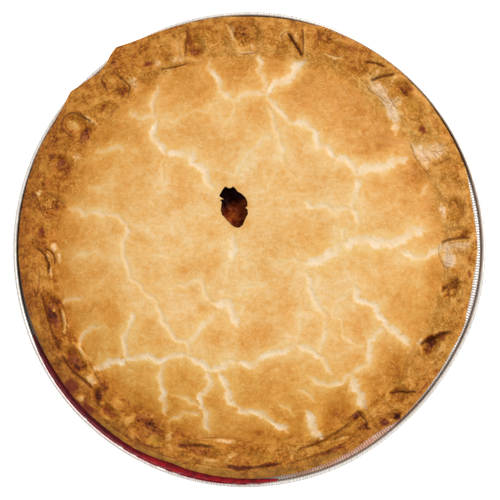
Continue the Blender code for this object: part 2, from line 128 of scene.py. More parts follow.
def latticeDisc(name, cuts, crowd=0.0):  # a disc of radius 1 in even triangles, crowded towards its edge
    bpy.ops.mesh.primitive_circle_add(vertices=6, radius=1.0, fill_type="TRIFAN")
    disc = bpy.context.object
    disc.name = disc.data.name = name
    bpy.ops.object.mode_set(mode="EDIT")
    bpy.ops.mesh.select_all(action="SELECT")
    for cut in cuts:
        bpy.ops.mesh.subdivide(number_cuts=cut - 1)
    bpy.ops.mesh.quads_convert_to_tris()
    bpy.ops.object.mode_set(mode="OBJECT")
    points = pointsOf(disc)
    sector = math.radians(60)
    turn = (np.arctan2(points[:, 1], points[:, 0]) + sector / 2) % sector - sector / 2
    points[:, :2] *= (np.cos(turn) / math.cos(sector / 2))[:, None]
    reach = np.hypot(points[:, 0], points[:, 1])
    points[:, :2] *= (1.0 + crowd * (1.0 - reach))[:, None]
    setPoints(disc, points)
    return disc


def addSkirt(item, levels):  # closes an open disc from below, ring by ring
    only(item)
    bpy.ops.object.mode_set(mode="EDIT")
    bpy.ops.mesh.select_mode(type="EDGE")
    bpy.ops.mesh.select_all(action="DESELECT")
    bpy.ops.mesh.select_non_manifold(extend=False)
    for level in levels:
        bpy.ops.mesh.extrude_edges_move()
        bpy.ops.object.mode_set(mode="OBJECT")
        chosen = np.zeros(len(item.data.vertices), dtype=bool)
        item.data.vertices.foreach_get("select", chosen)
        points = pointsOf(item)
        points[chosen] = level(points[chosen])
        setPoints(item, points)
        bpy.ops.object.mode_set(mode="EDIT")
    bpy.ops.mesh.edge_face_add()
    bpy.ops.mesh.quads_convert_to_tris()
    bpy.ops.mesh.select_all(action="SELECT")
    bpy.ops.mesh.normals_make_consistent(inside=False)
    bpy.ops.object.mode_set(mode="OBJECT")


class MaterialSheet:  # lays out a material's nodes
    def __init__(self, name):
        self.material = bpy.data.materials.new(name)
        self.material.use_nodes = True
        self.nodes = self.material.node_tree.nodes
        self.links = self.material.node_tree.links
        self.shader = self.nodes["Principled BSDF"]
        self.coordinates = self.add("ShaderNodeTexCoord").outputs["Object"]

    def add(self, kind, **settings):
        node = self.nodes.new(kind)
        for name, value in settings.items():
            setattr(node, name, value)
        return node

    def plug(self, socket, value):
        if isinstance(value, bpy.types.NodeSocket):
            self.links.new(value, socket)
        else:
            socket.default_value = value

    def noise(self, sizeMm, detail=3.0, roughness=0.55, stretch=(1.0, 1.0, 1.0), turn=0.0, shift=0.0,
              place=None):
        mapping = self.add("ShaderNodeMapping")
        self.plug(mapping.inputs["Vector"], self.coordinates if place is None else place)
        mapping.inputs["Scale"].default_value = stretch
        mapping.inputs["Rotation"].default_value = (0.0, 0.0, math.radians(turn))
        mapping.inputs["Location"].default_value = (shift, shift * 0.7, 0.0)
        texture = self.add("ShaderNodeTexNoise")
        self.plug(texture.inputs["Vector"], mapping.outputs[0])
        texture.inputs["Scale"].default_value = 1.0 / (sizeMm * mm)
        texture.inputs["Detail"].default_value = detail
        texture.inputs["Roughness"].default_value = roughness
        return texture.outputs["Fac"]

    def mask(self, name):
        return self.add("ShaderNodeAttribute", attribute_name=name).outputs["Fac"]

    def place(self, name):
        return self.add("ShaderNodeAttribute", attribute_name=name).outputs["Vector"]

    def maths(self, operation, first, second=0.0, third=0.0):
        node = self.add("ShaderNodeMath", operation=operation)
        for socket, value in zip(node.inputs, (first, second, third)):
            self.plug(socket, value)
        return node.outputs[0]

    def total(self, *values):
        result = values[0]
        for value in values[1:]:
            result = self.maths("ADD", result, value)
        return result

    def times(self, *values):
        result = values[0]
        for value in values[1:]:
            result = self.maths("MULTIPLY", result, value)
        return result

    def around(self, value, amount):  # a noise as a swing of plus or minus the amount
        return self.maths("MULTIPLY_ADD", value, 2.0 * amount, -amount)

    def remap(self, value, low, high, newLow=0.0, newHigh=1.0):
        node = self.add("ShaderNodeMapRange", interpolation_type="SMOOTHSTEP")
        for socket, number in zip(node.inputs, (value, low, high, newLow, newHigh)):
            self.plug(socket, number)
        return node.outputs[0]

    def ramp(self, value, stops):
        node = self.add("ShaderNodeValToRGB")
        self.plug(node.inputs[0], value)
        elements = node.color_ramp.elements
        for element, (position, colour) in zip(elements, (stops[0], stops[-1])):
            element.position, element.color = position, colour
        for position, colour in stops[1:-1]:
            elements.new(position).color = colour
        return node.outputs[0]

    def mix(self, factor, first, second, blend="MIX"):
        node = self.add("ShaderNodeMix", data_type="RGBA", blend_type=blend)
        self.plug(node.inputs[0], factor)
        self.plug(node.inputs[6], first)
        self.plug(node.inputs[7], second)
        return node.outputs[2]

    def tint(self, share, colour, red, green, blue):  # part of a colour multiplied by another
        return self.mix(share, colour, self.mix(1.0, colour, (red, green, blue, 1.0), blend="MULTIPLY"))

    def nearNought(self, value, full, gone):  # 1 where the value is near 0, on either side
        return self.remap(self.maths("ABSOLUTE", value), full, gone, 1.0, 0.0)

    def toward(self, value, goal, share):  # moves a value towards a goal
        return self.total(value, self.times(share, self.maths("SUBTRACT", goal, value)))

    def bump(self, height, strength, distanceMm, normal=None):
        node = self.add("ShaderNodeBump")
        node.inputs["Strength"].default_value = strength
        node.inputs["Distance"].default_value = distanceMm * mm
        self.plug(node.inputs["Height"], height)
        if normal is not None:
            self.plug(node.inputs["Normal"], normal)
        return node.outputs[0]


# The tin isn't quite round: angle, half width in degrees, steepness, bulge in millimetres
tinBulges = [(320.0, 21.0, 2.5, -1.8), (238.0, 38.0, 4.0, 1.1), (97.0, 25.0, 4.0, 0.65)]


def tinStretch(degrees):  # how much wider than round the tin is at each angle
    bulge = np.zeros_like(degrees)
    for angle, half, steepness, amount in tinBulges:
        bulge += amount * np.exp(-((awayFrom(degrees, angle) / half) ** steepness))
    return 1.0 + bulge / tinRadius


# Crust: the lid, the rim, and where its edge runs

crust = {
    "lidTop": 38.95, "lidPower": 4.5, "valleyRadius": 95.5, "valleyHeight": 29.3,
    "rimTop": 32.3, "rimDropInside": 1.8, "rimDropOutside": 1.7, "blendSoftness": 0.5,
    "lidLump": 0.7, "lidLumpLength": 30, "rimLump": 0.45, "rimLumpLength": 9,
    "lidLumpFade": (70, 95), "rimBlend": 6, "rimPower": 2.6, "roughLump": 0.2, "roughLumpLength": 2.6,
    "filled": (48, 50), "fillHeight": 2.1, "fillSlope": 0.85, "flourRise": 0.25,
    "beadTop": 28.9, "gap": 0.3, "tuck": 0.9, "beadReach": (111.6, 112.4), "edgeThickness": 0.7,
    "edgeSoftness": 1.4,
    "edge": [
        (0, 110.6), (7, 110.1), (12, 110.2), (16, 110.9), (20, 111.9), (28, 112.1), (36, 112.3), (41, 112.8),
        (46, 112.6), (50, 113.3), (68, 113.3), (71.5, 113.9), (74, 113.2), (84, 113), (92, 112.9), (96, 113.6),
        (104, 113.7), (110, 114.2), (116, 114.8), (120, 115.9), (123.4, 117.6), (125.6, 116), (128, 113.6),
        (130.5, 112.6), (133, 113.5), (136, 114.5), (138.6, 115.8), (142, 114.1), (146, 113), (155, 112.9),
        (162, 112.5), (172, 112.2), (182, 112), (188, 111.7), (200, 111.4), (214, 111.2), (222, 111.5),
        (230, 111.2), (240, 111.4), (246, 110.8), (250, 110.1), (254, 110.7), (262, 111), (270, 111.1),
        (277, 110.9), (284, 110.5), (290, 110.2), (297, 109.4), (303, 108.3), (306.5, 108.4), (309, 109.3),
        (312, 110.1), (316, 109.8), (325, 109.6), (334, 109.7), (338, 110.3), (341, 110.5), (344, 109.6),
        (352, 109.5), (357, 110.1),
    ],
    "latticeCuts": (15, 11), "crowd": 0.25,
    # Inset, height (or none where it follows the bead) and widest reach of each ring below the edge
    "skirt": [(-0.05, None, 200), (0.6, None, 112.3), (0.5, 27.25, 112.2), (0.5, 27.25, 105.9),
              (0, 2.05, 88.3), (0, 1.15, 86.8)],
}

# Thumb dents: angle, width in degrees, inner radius, outer radius, depth
crimps = [
    (4.2, 4, 97.5, 107.5, 1.1), (11.4, 8, 94.2, 106, 1.9), (18, 6, 97, 108, 0.9), (27.5, 9, 92.6, 108.5, 1.5),
    (34.6, 4, 98, 106, 0.8), (41, 7, 99.4, 110, 1.7), (46.8, 5, 103, 111.5, 1.5), (57, 4.5, 105, 111.5, 0.9),
    (67.2, 7.5, 101.6, 109.6, 1.6), (83, 5, 99, 111, 0.6), (90.6, 7.5, 95.6, 111.5, 1.9),
    (98.8, 5, 97, 108, 0.7), (105.4, 6, 95.6, 107.5, 1.8), (113.6, 4, 98.5, 103.5, 0.7),
    (119, 5, 100, 106, 0.8), (129.3, 5.4, 94.6, 110.6, 1.4), (136, 5, 95.4, 101, 0.9),
    (144.6, 6.4, 94.2, 110, 1.4), (155.6, 5.6, 94.6, 104.4, 1.4), (161, 4.5, 95, 104, 0.7),
    (167.6, 6.4, 91.4, 106, 1.2), (175, 4, 98, 104, 0.8), (182.2, 6, 95, 99.6, 1),
    (198.6, 13, 95.8, 103.6, 2.5), (212.8, 9.4, 95.8, 103.8, 2.5), (224.2, 4.4, 97.6, 105, 1.4),
    (229.2, 6, 101, 107, 1.3), (241.2, 10.6, 94.6, 107.4, 2.2), (256.2, 12.6, 96.8, 103.8, 2.1),
    (269, 9, 98, 105.2, 1.2), (280.6, 6, 98.4, 105, 0.9), (290.6, 13, 97.2, 100.6, 1),
    (296, 6, 100.5, 104.6, 0.7), (303, 3.8, 94.4, 99.4, 1.4), (309.4, 6.6, 104, 109.8, 1.6),
    (315.4, 5.4, 96.2, 104.4, 1.9), (324, 6, 97, 104, 0.9), (332.4, 6, 94.8, 103.4, 2.5),
    (341.5, 5, 96, 105, 0.7), (349.2, 6.4, 94.6, 103.8, 2.1), (354.6, 3, 98, 105, 0.8),
]
crimpShape = {"squareness": 2.2, "bowl": (0.45, 1.05), "lip": 0.5, "lipAt": 1.2, "lipWidth": 0.18,
              "fullLip": 1.5}

# Dark creases: width, darkness (a painted shade in the fold, with browned juice), depth, flap beside it (on the
# left if above 0), then angle and radius on the way
creases = [
    (0.9, 0.8, 0.9, 1, [(2.9, 108.6), (3.2, 104), (3, 99.5), (2.6, 95.4), (1.6, 92.4)]),
    (0.5, 0.45, 0.3, 0, [(1.6, 92.3), (-0.6, 91.6), (-3.4, 92.8)]),
    (0.5, 0.5, 0.3, 0, [(8.2, 104.2), (11.2, 105.8), (14.4, 107.6)]),
    (0.6, 0.5, 0.3, 0, [(10.4, 104.2), (13, 102.8), (13.5, 100.6), (12.3, 98.8)]),
    (0.5, 0.5, 0.4, 0, [(20.8, 93.8), (23.4, 93.6), (27, 92), (31, 92.3), (34.8, 93.6)]),
    (0.6, 0.4, 0.4, -0.3, [(24.3, 108.4), (24.5, 102.5), (24, 97)]),
    (0.5, 0.4, 0.3, 0, [(37.6, 104.4), (38.1, 101.6), (40.6, 99.9), (43, 101.2)]),
    (0.5, 0.55, 0.4, 0.4, [(44.6, 98.4), (48, 100.3), (52.4, 103.2)]),
    (0.55, 0.5, 0.3, 0.3, [(46.2, 97.4), (50, 97.2), (52.6, 96.4), (54.6, 97.6)]),
    (0.95, 1, 1.5, 0.9, [(50.2, 111.2), (51.2, 108.4), (52.4, 105.9), (53.7, 102.4), (54.4, 100.4)]),
    (0.75, 0.85, 1, -0.7, [(53, 110.4), (56.2, 108.9), (59, 105.9)]),
    (0.5, 0.45, 0.4, 0.4, [(64.4, 104.8), (65.6, 102.6), (69.8, 102)]),
    (0.45, 0.8, 0.5, 0, [(76.6, 110.6), (75.6, 105), (74.8, 98.6)]),
    (1, 1, 1.6, -1.2, [(74.4, 96.8), (76.2, 99.8), (78.2, 103.3), (80.4, 107.7)]),
    (0.5, 0.5, 0.4, 0, [(80.4, 107.7), (81.6, 104.4), (80.6, 102.2)]),
    (0.9, 0.6, 0.6, -0.6, [(94.9, 111), (94.4, 106.2), (93.2, 102.4)]),
    (0.5, 0.5, 0.4, 0, [(87, 97.2), (88.6, 95.4), (91.2, 94.8), (93.6, 95.4)]),
    (0.7, 0.75, 0.7, -0.6, [(105.6, 112.4), (106.3, 107.4), (107.2, 103.8), (108.8, 97)]),
    (0.5, 0.85, 0.6, -0.5, [(107.6, 95.3), (111, 95.3), (114, 96.3), (117, 97.8)]),
    (0.55, 0.75, 0.7, 0, [(127.4, 108.6), (126.9, 104), (126.3, 98.4), (127.4, 96.4), (129.6, 93.4)]),
    (0.8, 0.75, 0.7, 0, [(129.3, 110.6), (131, 109.2), (131.7, 105.6), (131.8, 102.4)]),
    (0.45, 0.6, 0.4, 0, [(132, 94), (134.4, 94.2), (137, 93.3)]),
    (0.6, 0.85, 0.7, 0, [(141.4, 95.6), (141.2, 100), (141.6, 104.6), (142.4, 108.6), (144.4, 110.2),
                           (146.4, 109.2), (147.3, 106.6), (147.6, 103), (147.9, 99.4)]),
    (0.45, 0.45, 0.3, 0, [(150.4, 97.6), (152.4, 94.4), (156.4, 92)]),
    (0.5, 0.65, 0.4, -0.5, [(164, 103.6), (165.3, 97), (166.7, 91.4)]),
    (0.5, 0.55, 0.4, 0.4, [(165.4, 106.8), (168.6, 103.6), (171, 99.8), (170, 94.6)]),
    (0.45, 0.7, 0.4, 0, [(177.2, 106.2), (177.6, 103)]),
    (0.8, 1, 1.3, 0.7, [(179.2, 104.4), (180, 102), (181.1, 99.9), (182.7, 98.5), (184.6, 97.8),
                          (187.8, 98.4)]),
    (0.65, 0.85, 0.8, 0.5, [(179.5, 100.2), (180.1, 97.4), (181.3, 95.3), (183.2, 94.5), (185, 95.2)]),
    (0.45, 0.6, 0.4, 0, [(186, 102.5), (189, 103.3), (190.8, 104.4), (192.4, 106.4)]),
    (1, 0.8, 1.2, -0.9, [(191.6, 103.6), (194.4, 102.9), (200, 103.2), (205, 103.9), (209, 104.4)]),
    (1, 0.95, 1.4, -1.1, [(208.4, 104.4), (213, 104.1), (217.4, 102.6), (222.4, 101.2)]),
    (0.45, 0.5, 0.4, 0, [(193.6, 96.6), (196.4, 94.6), (199.6, 94.6), (202.6, 95.6), (205, 97.4)]),
    (0.5, 0.55, 0.4, 0, [(212.8, 94.4), (218.6, 95.9), (222.6, 97.4), (224, 99.4)]),
    (0.9, 0.8, 0.9, -0.5, [(226.8, 105.8), (224.8, 103.6), (223.4, 101.2), (222.4, 98.8)]),
    (0.4, 0.7, 0.3, 0, [(215.8, 107.2), (219.4, 106.6)]),
    (0.6, 0.75, 0.6, -0.4, [(237.6, 105.8), (240.8, 107.6), (243.6, 107.2), (247.4, 104)]),
    (0.5, 0.5, 0.5, 0, [(228, 108.6), (233, 108.6), (241, 108.6), (248, 108), (252, 106.6)]),
    (0.5, 0.45, 0.4, 0, [(254.6, 107.2), (260, 106.6), (263.6, 106.4)]),
    (0.9, 0.95, 0.9, -0.5, [(249.4, 101.8), (252, 100.2), (255.4, 98.3), (260.4, 97)]),
    (0.5, 0.5, 0.4, 0, [(249.6, 100.4), (252, 97.6), (255, 95.1), (258.4, 93.2), (262, 92),
                          (266.4, 92)]),
    (0.45, 0.7, 0.5, 0, [(251.4, 102.6), (252.2, 105.8)]),
    (1, 0.95, 0.9, -0.6, [(262.8, 105.4), (268, 105.9), (274, 105.4), (279, 104.6)]),
    (0.8, 0.6, 0.7, -0.5, [(279, 105.4), (286, 105), (292, 104.8), (298, 104.6)]),
    (0.8, 0.75, 0.8, -0.5, [(283, 99.2), (289, 99.6), (295.4, 98.2), (301, 97)]),
    (0.45, 0.5, 0.3, 0, [(276.6, 98.4), (280.8, 98.6)]),
    (0.4, 0.5, 0.3, 0, [(293, 100.8), (296.4, 101), (299, 102.6)]),
    (0.7, 0.9, 0.9, 0.6, [(304.2, 105), (303, 103.4), (300.8, 101.4)]),
    (0.7, 0.9, 0.9, 0, [(303.6, 103.4), (304.2, 100), (303.8, 96.6), (304.4, 94.4)]),
    (0.6, 0.8, 0.6, 0, [(300.6, 95.2), (304.4, 94.2)]),
    (0.85, 0.9, 1.1, -0.8, [(319.9, 106.8), (318.2, 103.6), (316.2, 99.6), (314, 97.4)]),
    (0.4, 0.45, 0.3, 0, [(323, 104.4), (326.6, 104.6), (330.4, 106.6)]),
    (0.4, 0.4, 0.3, 0, [(324, 93.1), (327.2, 93.2), (330.4, 92.7)]),
    (1.3, 1, 1.7, -1.2, [(338.2, 107), (336.4, 101.8), (334.2, 98.9), (332.2, 96.4), (330.4, 94.7)]),
    (0.6, 0.85, 0.7, 0, [(352.6, 103), (350.6, 99.6), (349.2, 96.8), (347, 94.9)]),
    (0.45, 0.65, 0.4, 0, [(351.4, 103.4), (349.4, 100.4), (347.6, 97)]),
    (0.4, 0.4, 0.3, 0, [(345.6, 103.4), (347.4, 105.4), (350.6, 105)]),
    (0.5, 0.5, 0.3, 0, [(355, 98.4), (355, 95), (357.4, 92.6)]),
]

# Pale edges of flaps, the same way: the paleness is a painted highlight along each raised edge
ridges = [
    (0.6, 0.9, -0.5, 0, [(76.2, 111.6), (75.2, 105), (74, 97.4)]),
    (0.7, 0.7, -0.4, 0, [(96, 110.6), (95.2, 106), (94.2, 102), (93.2, 100.6)]),
    (0.6, 0.7, -0.3, 0, [(54.8, 106), (55, 102), (55.2, 98.6)]),
    (0.8, 0.9, -0.4, 0, [(196.8, 95.2), (200, 95.6), (202.2, 96.8), (204.8, 98.8)]),
    (0.6, 0.8, -0.3, 0, [(207.4, 96.8), (209.4, 95.3), (212.6, 94.9)]),
    (0.6, 0.7, -0.3, 0, [(64, 105.2), (65, 102.3), (67.2, 101.2), (70.2, 101.4)]),
    (0.5, 0.6, -0.3, 0, [(80.6, 108.2), (82, 104.4), (81, 101.6)]),
    (0.5, 0.6, -0.3, 0, [(184.8, 96.4), (187.8, 97.4)]),
    (0.6, 0.7, -0.2, 0, [(140.7, 94), (140.4, 98.6), (140.9, 103.4)]),
    (0.5, 0.6, -0.3, 0, [(294.2, 101.6), (298.4, 103)]),
    (0.6, 0.6, -0.3, 0, [(263, 104.4), (264.6, 101.2), (267, 99)]),
    (0.5, 0.55, -0.3, 0, [(281.2, 104), (282.4, 100.6), (284.4, 98.4)]),
    (0.5, 0.6, -0.2, 0, [(126, 102), (125.2, 97), (126.4, 93.4)]),
    (0.5, 0.5, -0.2, 0, [(10, 95.6), (11.6, 94), (14, 95.4)]),
]
lineShape = {"flapReach": 5, "flapFrom": 0.4, "ends": 0.15, "grooveDepth": 0.75, "leastGroove": 0.8,
             "colourReach": 3, "none": 9.0}

# Cracks in the lid: width in millimetres, then the pixels of the photograph that each one passes
cracks = {
    "north": (1.9, [(211, 60), (209, 69), (219.5, 82), (221, 92), (233, 100)]),
    "northTail": (1.2, [(233, 100), (235, 107), (232, 115), (225, 128)]),
    "northBridge": (1.9, [(233, 100), (246, 94), (260, 94), (266, 96)]),
    "northFork": (1.6, [(260, 54), (258, 71), (267, 84), (266, 95)]),
    "northEast": (2.5, [(305, 60), (294, 73), (281, 83), (272, 87), (266, 96)]),
    "northEastDown": (2, [(266, 96), (272, 103), (279, 111), (289, 124)]),
    "eastSteps": (2.2, [(289, 124), (303, 123), (311, 129), (316, 139), (329, 150), (335, 158)]),
    "eastStepsEnd": (2.4, [(335, 158), (343, 158), (353, 167), (355, 176)]),
    "middle": (1.6, [(268, 108), (273, 121), (278, 134), (283, 148), (283, 167)]),
    "middleEnd": (1.2, [(283, 167), (276, 172), (272, 182), (267, 190), (256, 193)]),
    "middleSpur": (1, [(285, 170), (297, 177)]),
    "aboveVent": (1.6, [(274, 134), (262, 139), (257, 148), (244, 161), (238, 172), (235, 177)]),
    "westTop": (1.6, [(158, 84), (153, 102), (152, 115), (158, 122)]),
    "westTopDown": (2.2, [(158, 122), (152, 134), (158, 144), (166, 156)]),
    "westTopSpur": (1.5, [(130, 112), (150, 116), (158, 122)]),
    "westTopFaint": (1, [(158, 122), (188, 115), (221, 101)]),
    "toVent": (2.5, [(166, 155), (192, 156), (192, 164), (205, 170), (206, 179), (214, 189)]),
    "toVentFaint": (0.9, [(166, 156), (162, 165), (158, 188)]),
    "westDash": (1.5, [(96, 153), (124, 152)]),
    "west": (1.7, [(69, 209), (80, 209), (84, 215), (102, 214), (119, 216), (128, 224)]),
    "westDown": (1.8, [(128, 224), (128, 237), (124, 247), (125, 258), (130, 278)]),
    "westSlant": (1.6, [(130, 278), (136, 281), (147, 293), (159, 302)]),
    "westFaint": (0.9, [(129, 229), (140, 225), (166, 226), (179, 221), (200, 209)]),
    "westFaintLow": (0.9, [(142, 255), (163, 255), (176, 258), (200, 244)]),
    "westShort": (1.3, [(73, 258), (79, 255), (92, 255)]),
    "westShortLow": (1.5, [(64, 304), (71, 299), (82, 298)]),
    "westHair": (0.8, [(87, 186), (97, 188), (110, 183)]),
    "westHairLow": (0.8, [(135, 201), (150, 200), (159, 207)]),
    "southWest": (1.9, [(133, 310), (133, 320), (128, 331), (124, 338), (126, 348), (126, 361)]),
    "slant": (1.8, [(159, 302), (162, 319), (171, 331), (181, 340), (189, 345), (189, 354)]),
    "link": (1.9, [(189, 345), (201, 327), (214, 314), (216, 311)]),
    "linkHair": (0.9, [(163, 311), (182, 308)]),
    "belt": (2.2, [(94, 371), (108, 364), (119, 360), (147, 356), (161, 361), (171, 356), (188, 355)]),
    "beltEast": (2.2, [(188, 356), (201, 362), (207, 368), (220, 369), (226, 362), (237, 362)]),
    "beltEnd": (2.2, [(237, 362), (249, 366), (257, 360), (267, 354), (285, 351), (297, 342)]),
    "beltUp": (1.3, [(297, 342), (300, 330), (302, 319)]),
    "southLeft": (1.9, [(167, 360), (161, 371), (161, 382), (164.5, 392), (164.5, 410), (166, 415)]),
    "hook": (1.6, [(79, 345), (84, 334), (92, 327), (102, 326)]),
    "southArc": (1.4, [(172, 395), (186, 397), (201, 405)]),
    "southArcLow": (1.3, [(168, 421), (179, 417), (193, 413), (201, 411)]),
    "southMid": (2, [(208, 369), (211, 382), (201, 394), (201, 406), (207, 417), (211, 431)]),
    "tail": (2.2, [(221, 370), (223, 379), (228, 389), (229, 401), (238, 405)]),
    "tailEnd": (2, [(238, 405), (241, 411), (260, 413), (269, 419), (278, 426), (286, 428), (289, 433)]),
    "beltFork": (2, [(297, 343), (303, 348), (316, 355), (326, 364), (332, 374)]),
    "southEastRib": (1.6, [(326, 317), (326, 332), (321, 343), (321, 356)]),
    "lowEast": (1.8, [(307, 375), (318, 382), (329, 385), (341, 383), (349, 376)]),
    "lowEastHair": (1.2, [(297, 389), (308, 394), (316, 403)]),
    "southSpur": (2.9, [(306, 410), (311, 419), (314, 430), (322, 438)]),
    "southHair": (1, [(278, 400), (288, 407), (294, 415)]),
    "eastSpur": (2.8, [(355, 176), (369, 168), (382, 168), (392, 161), (407, 159)]),
    "eastDrop": (2.2, [(356, 178), (355, 192), (351, 208)]),
    "eastArm": (1.9, [(304, 202), (317, 206), (332, 211), (350, 209)]),
    "eastFork": (2, [(351, 208), (356, 216), (359, 226)]),
    "riverHead": (1.5, [(345, 226), (342, 234), (342, 242)]),
    "river": (3.3, [(342, 242), (355, 241), (366, 239), (376, 244), (389, 244), (402, 239), (425, 230)]),
    "riverWest": (3, [(342, 242), (336, 252), (325, 258), (310, 262), (303, 262)]),
    "riverTail": (1.2, [(303, 262), (294, 258), (284, 262), (271, 265)]),
    "farEast": (2, [(401, 251), (410, 255), (420, 257), (435, 251), (442, 244)]),
    "belowRiver": (2, [(305, 272), (309, 288), (314, 300), (324, 313), (329, 317)]),
    "belowRiverFork": (1.6, [(332, 314), (337, 302), (348, 292)]),
    "southEast": (2.3, [(354, 285), (356, 298), (371, 304), (379, 316), (385, 325), (397, 334), (410, 346)]),
    "southEastFork": (1.9, [(384, 328), (376, 333), (368, 342), (369, 351), (368, 364), (352, 371)]),
    "southEastLow": (1.6, [(352, 371), (341, 383)]),
    "southEastEnd": (2.9, [(352, 374), (356, 389), (361, 402), (366, 408)]),
    "southEastHair": (1, [(332, 315), (342, 320), (343, 333), (357, 345), (366, 343)]),
    "underVent": (2.8, [(233, 234), (234, 247), (235, 260)]),
    "underVentTail": (1.3, [(235, 260), (229, 267), (229, 281)]),
    "underVentHair": (0.9, [(239, 257), (261, 255)]),
    "branch": (1.6, [(169, 290), (178, 284), (201, 280), (204, 290), (211, 302)]),
    "branchLow": (2.4, [(211, 302), (221, 304), (229, 300), (229, 308), (233, 318), (239, 327)]),
    "branchEast": (1.4, [(224, 295), (241, 293), (247, 285), (265, 283), (271, 280)]),
    "eastHair": (0.8, [(283, 192), (293, 191)]),
    "rimHair": (1.2, [(428, 184), (419, 197)]),
}
crackShape = {
    "seed": 7, "sideways": 0.11, "halvings": 3, "step": 0.3, "depth": 0.35, "wall": (0.3, 1.25), "reach": 4.4,
    "widen": 1.4, "tip": 0.35, "taperLength": 5, "swell": (0.82, 0.5, 4), "fade": (0.86, 0.32, 7),
    "strength": (0.25, 0.33), "tipStrength": 0.6, "plate": (1.0, 9.0),
}

# Steam vent: the hole's outline in pixels, and how deep it goes
vent = {
    "outline": [
        (222.9, 189.7), (225.2, 186.7), (227.4, 187.7), (229.2, 188.6), (231.4, 188), (233.2, 186.6),
        (235.7, 188.8), (237.7, 191.7), (241.3, 193.8), (245.3, 197.3), (247.3, 201.8), (247.5, 206.3),
        (245.6, 208), (247.7, 209.8), (247.9, 214.3), (245.7, 218.3), (244.2, 221.9), (242.8, 225.4),
        (238.6, 228.1), (234.1, 227), (231, 224.6), (227.9, 221.4), (225.2, 218.3), (222.1, 214.7),
        (220.9, 210.7), (221.4, 205.8), (221.8, 202.4), (223.8, 199.4), (219.8, 200), (219.2, 196.4),
        (220.7, 193.3),
    ],
    "floor": 25.9, "darkFrom": (38.3, 35.5), "darkReach": 14.0,
}

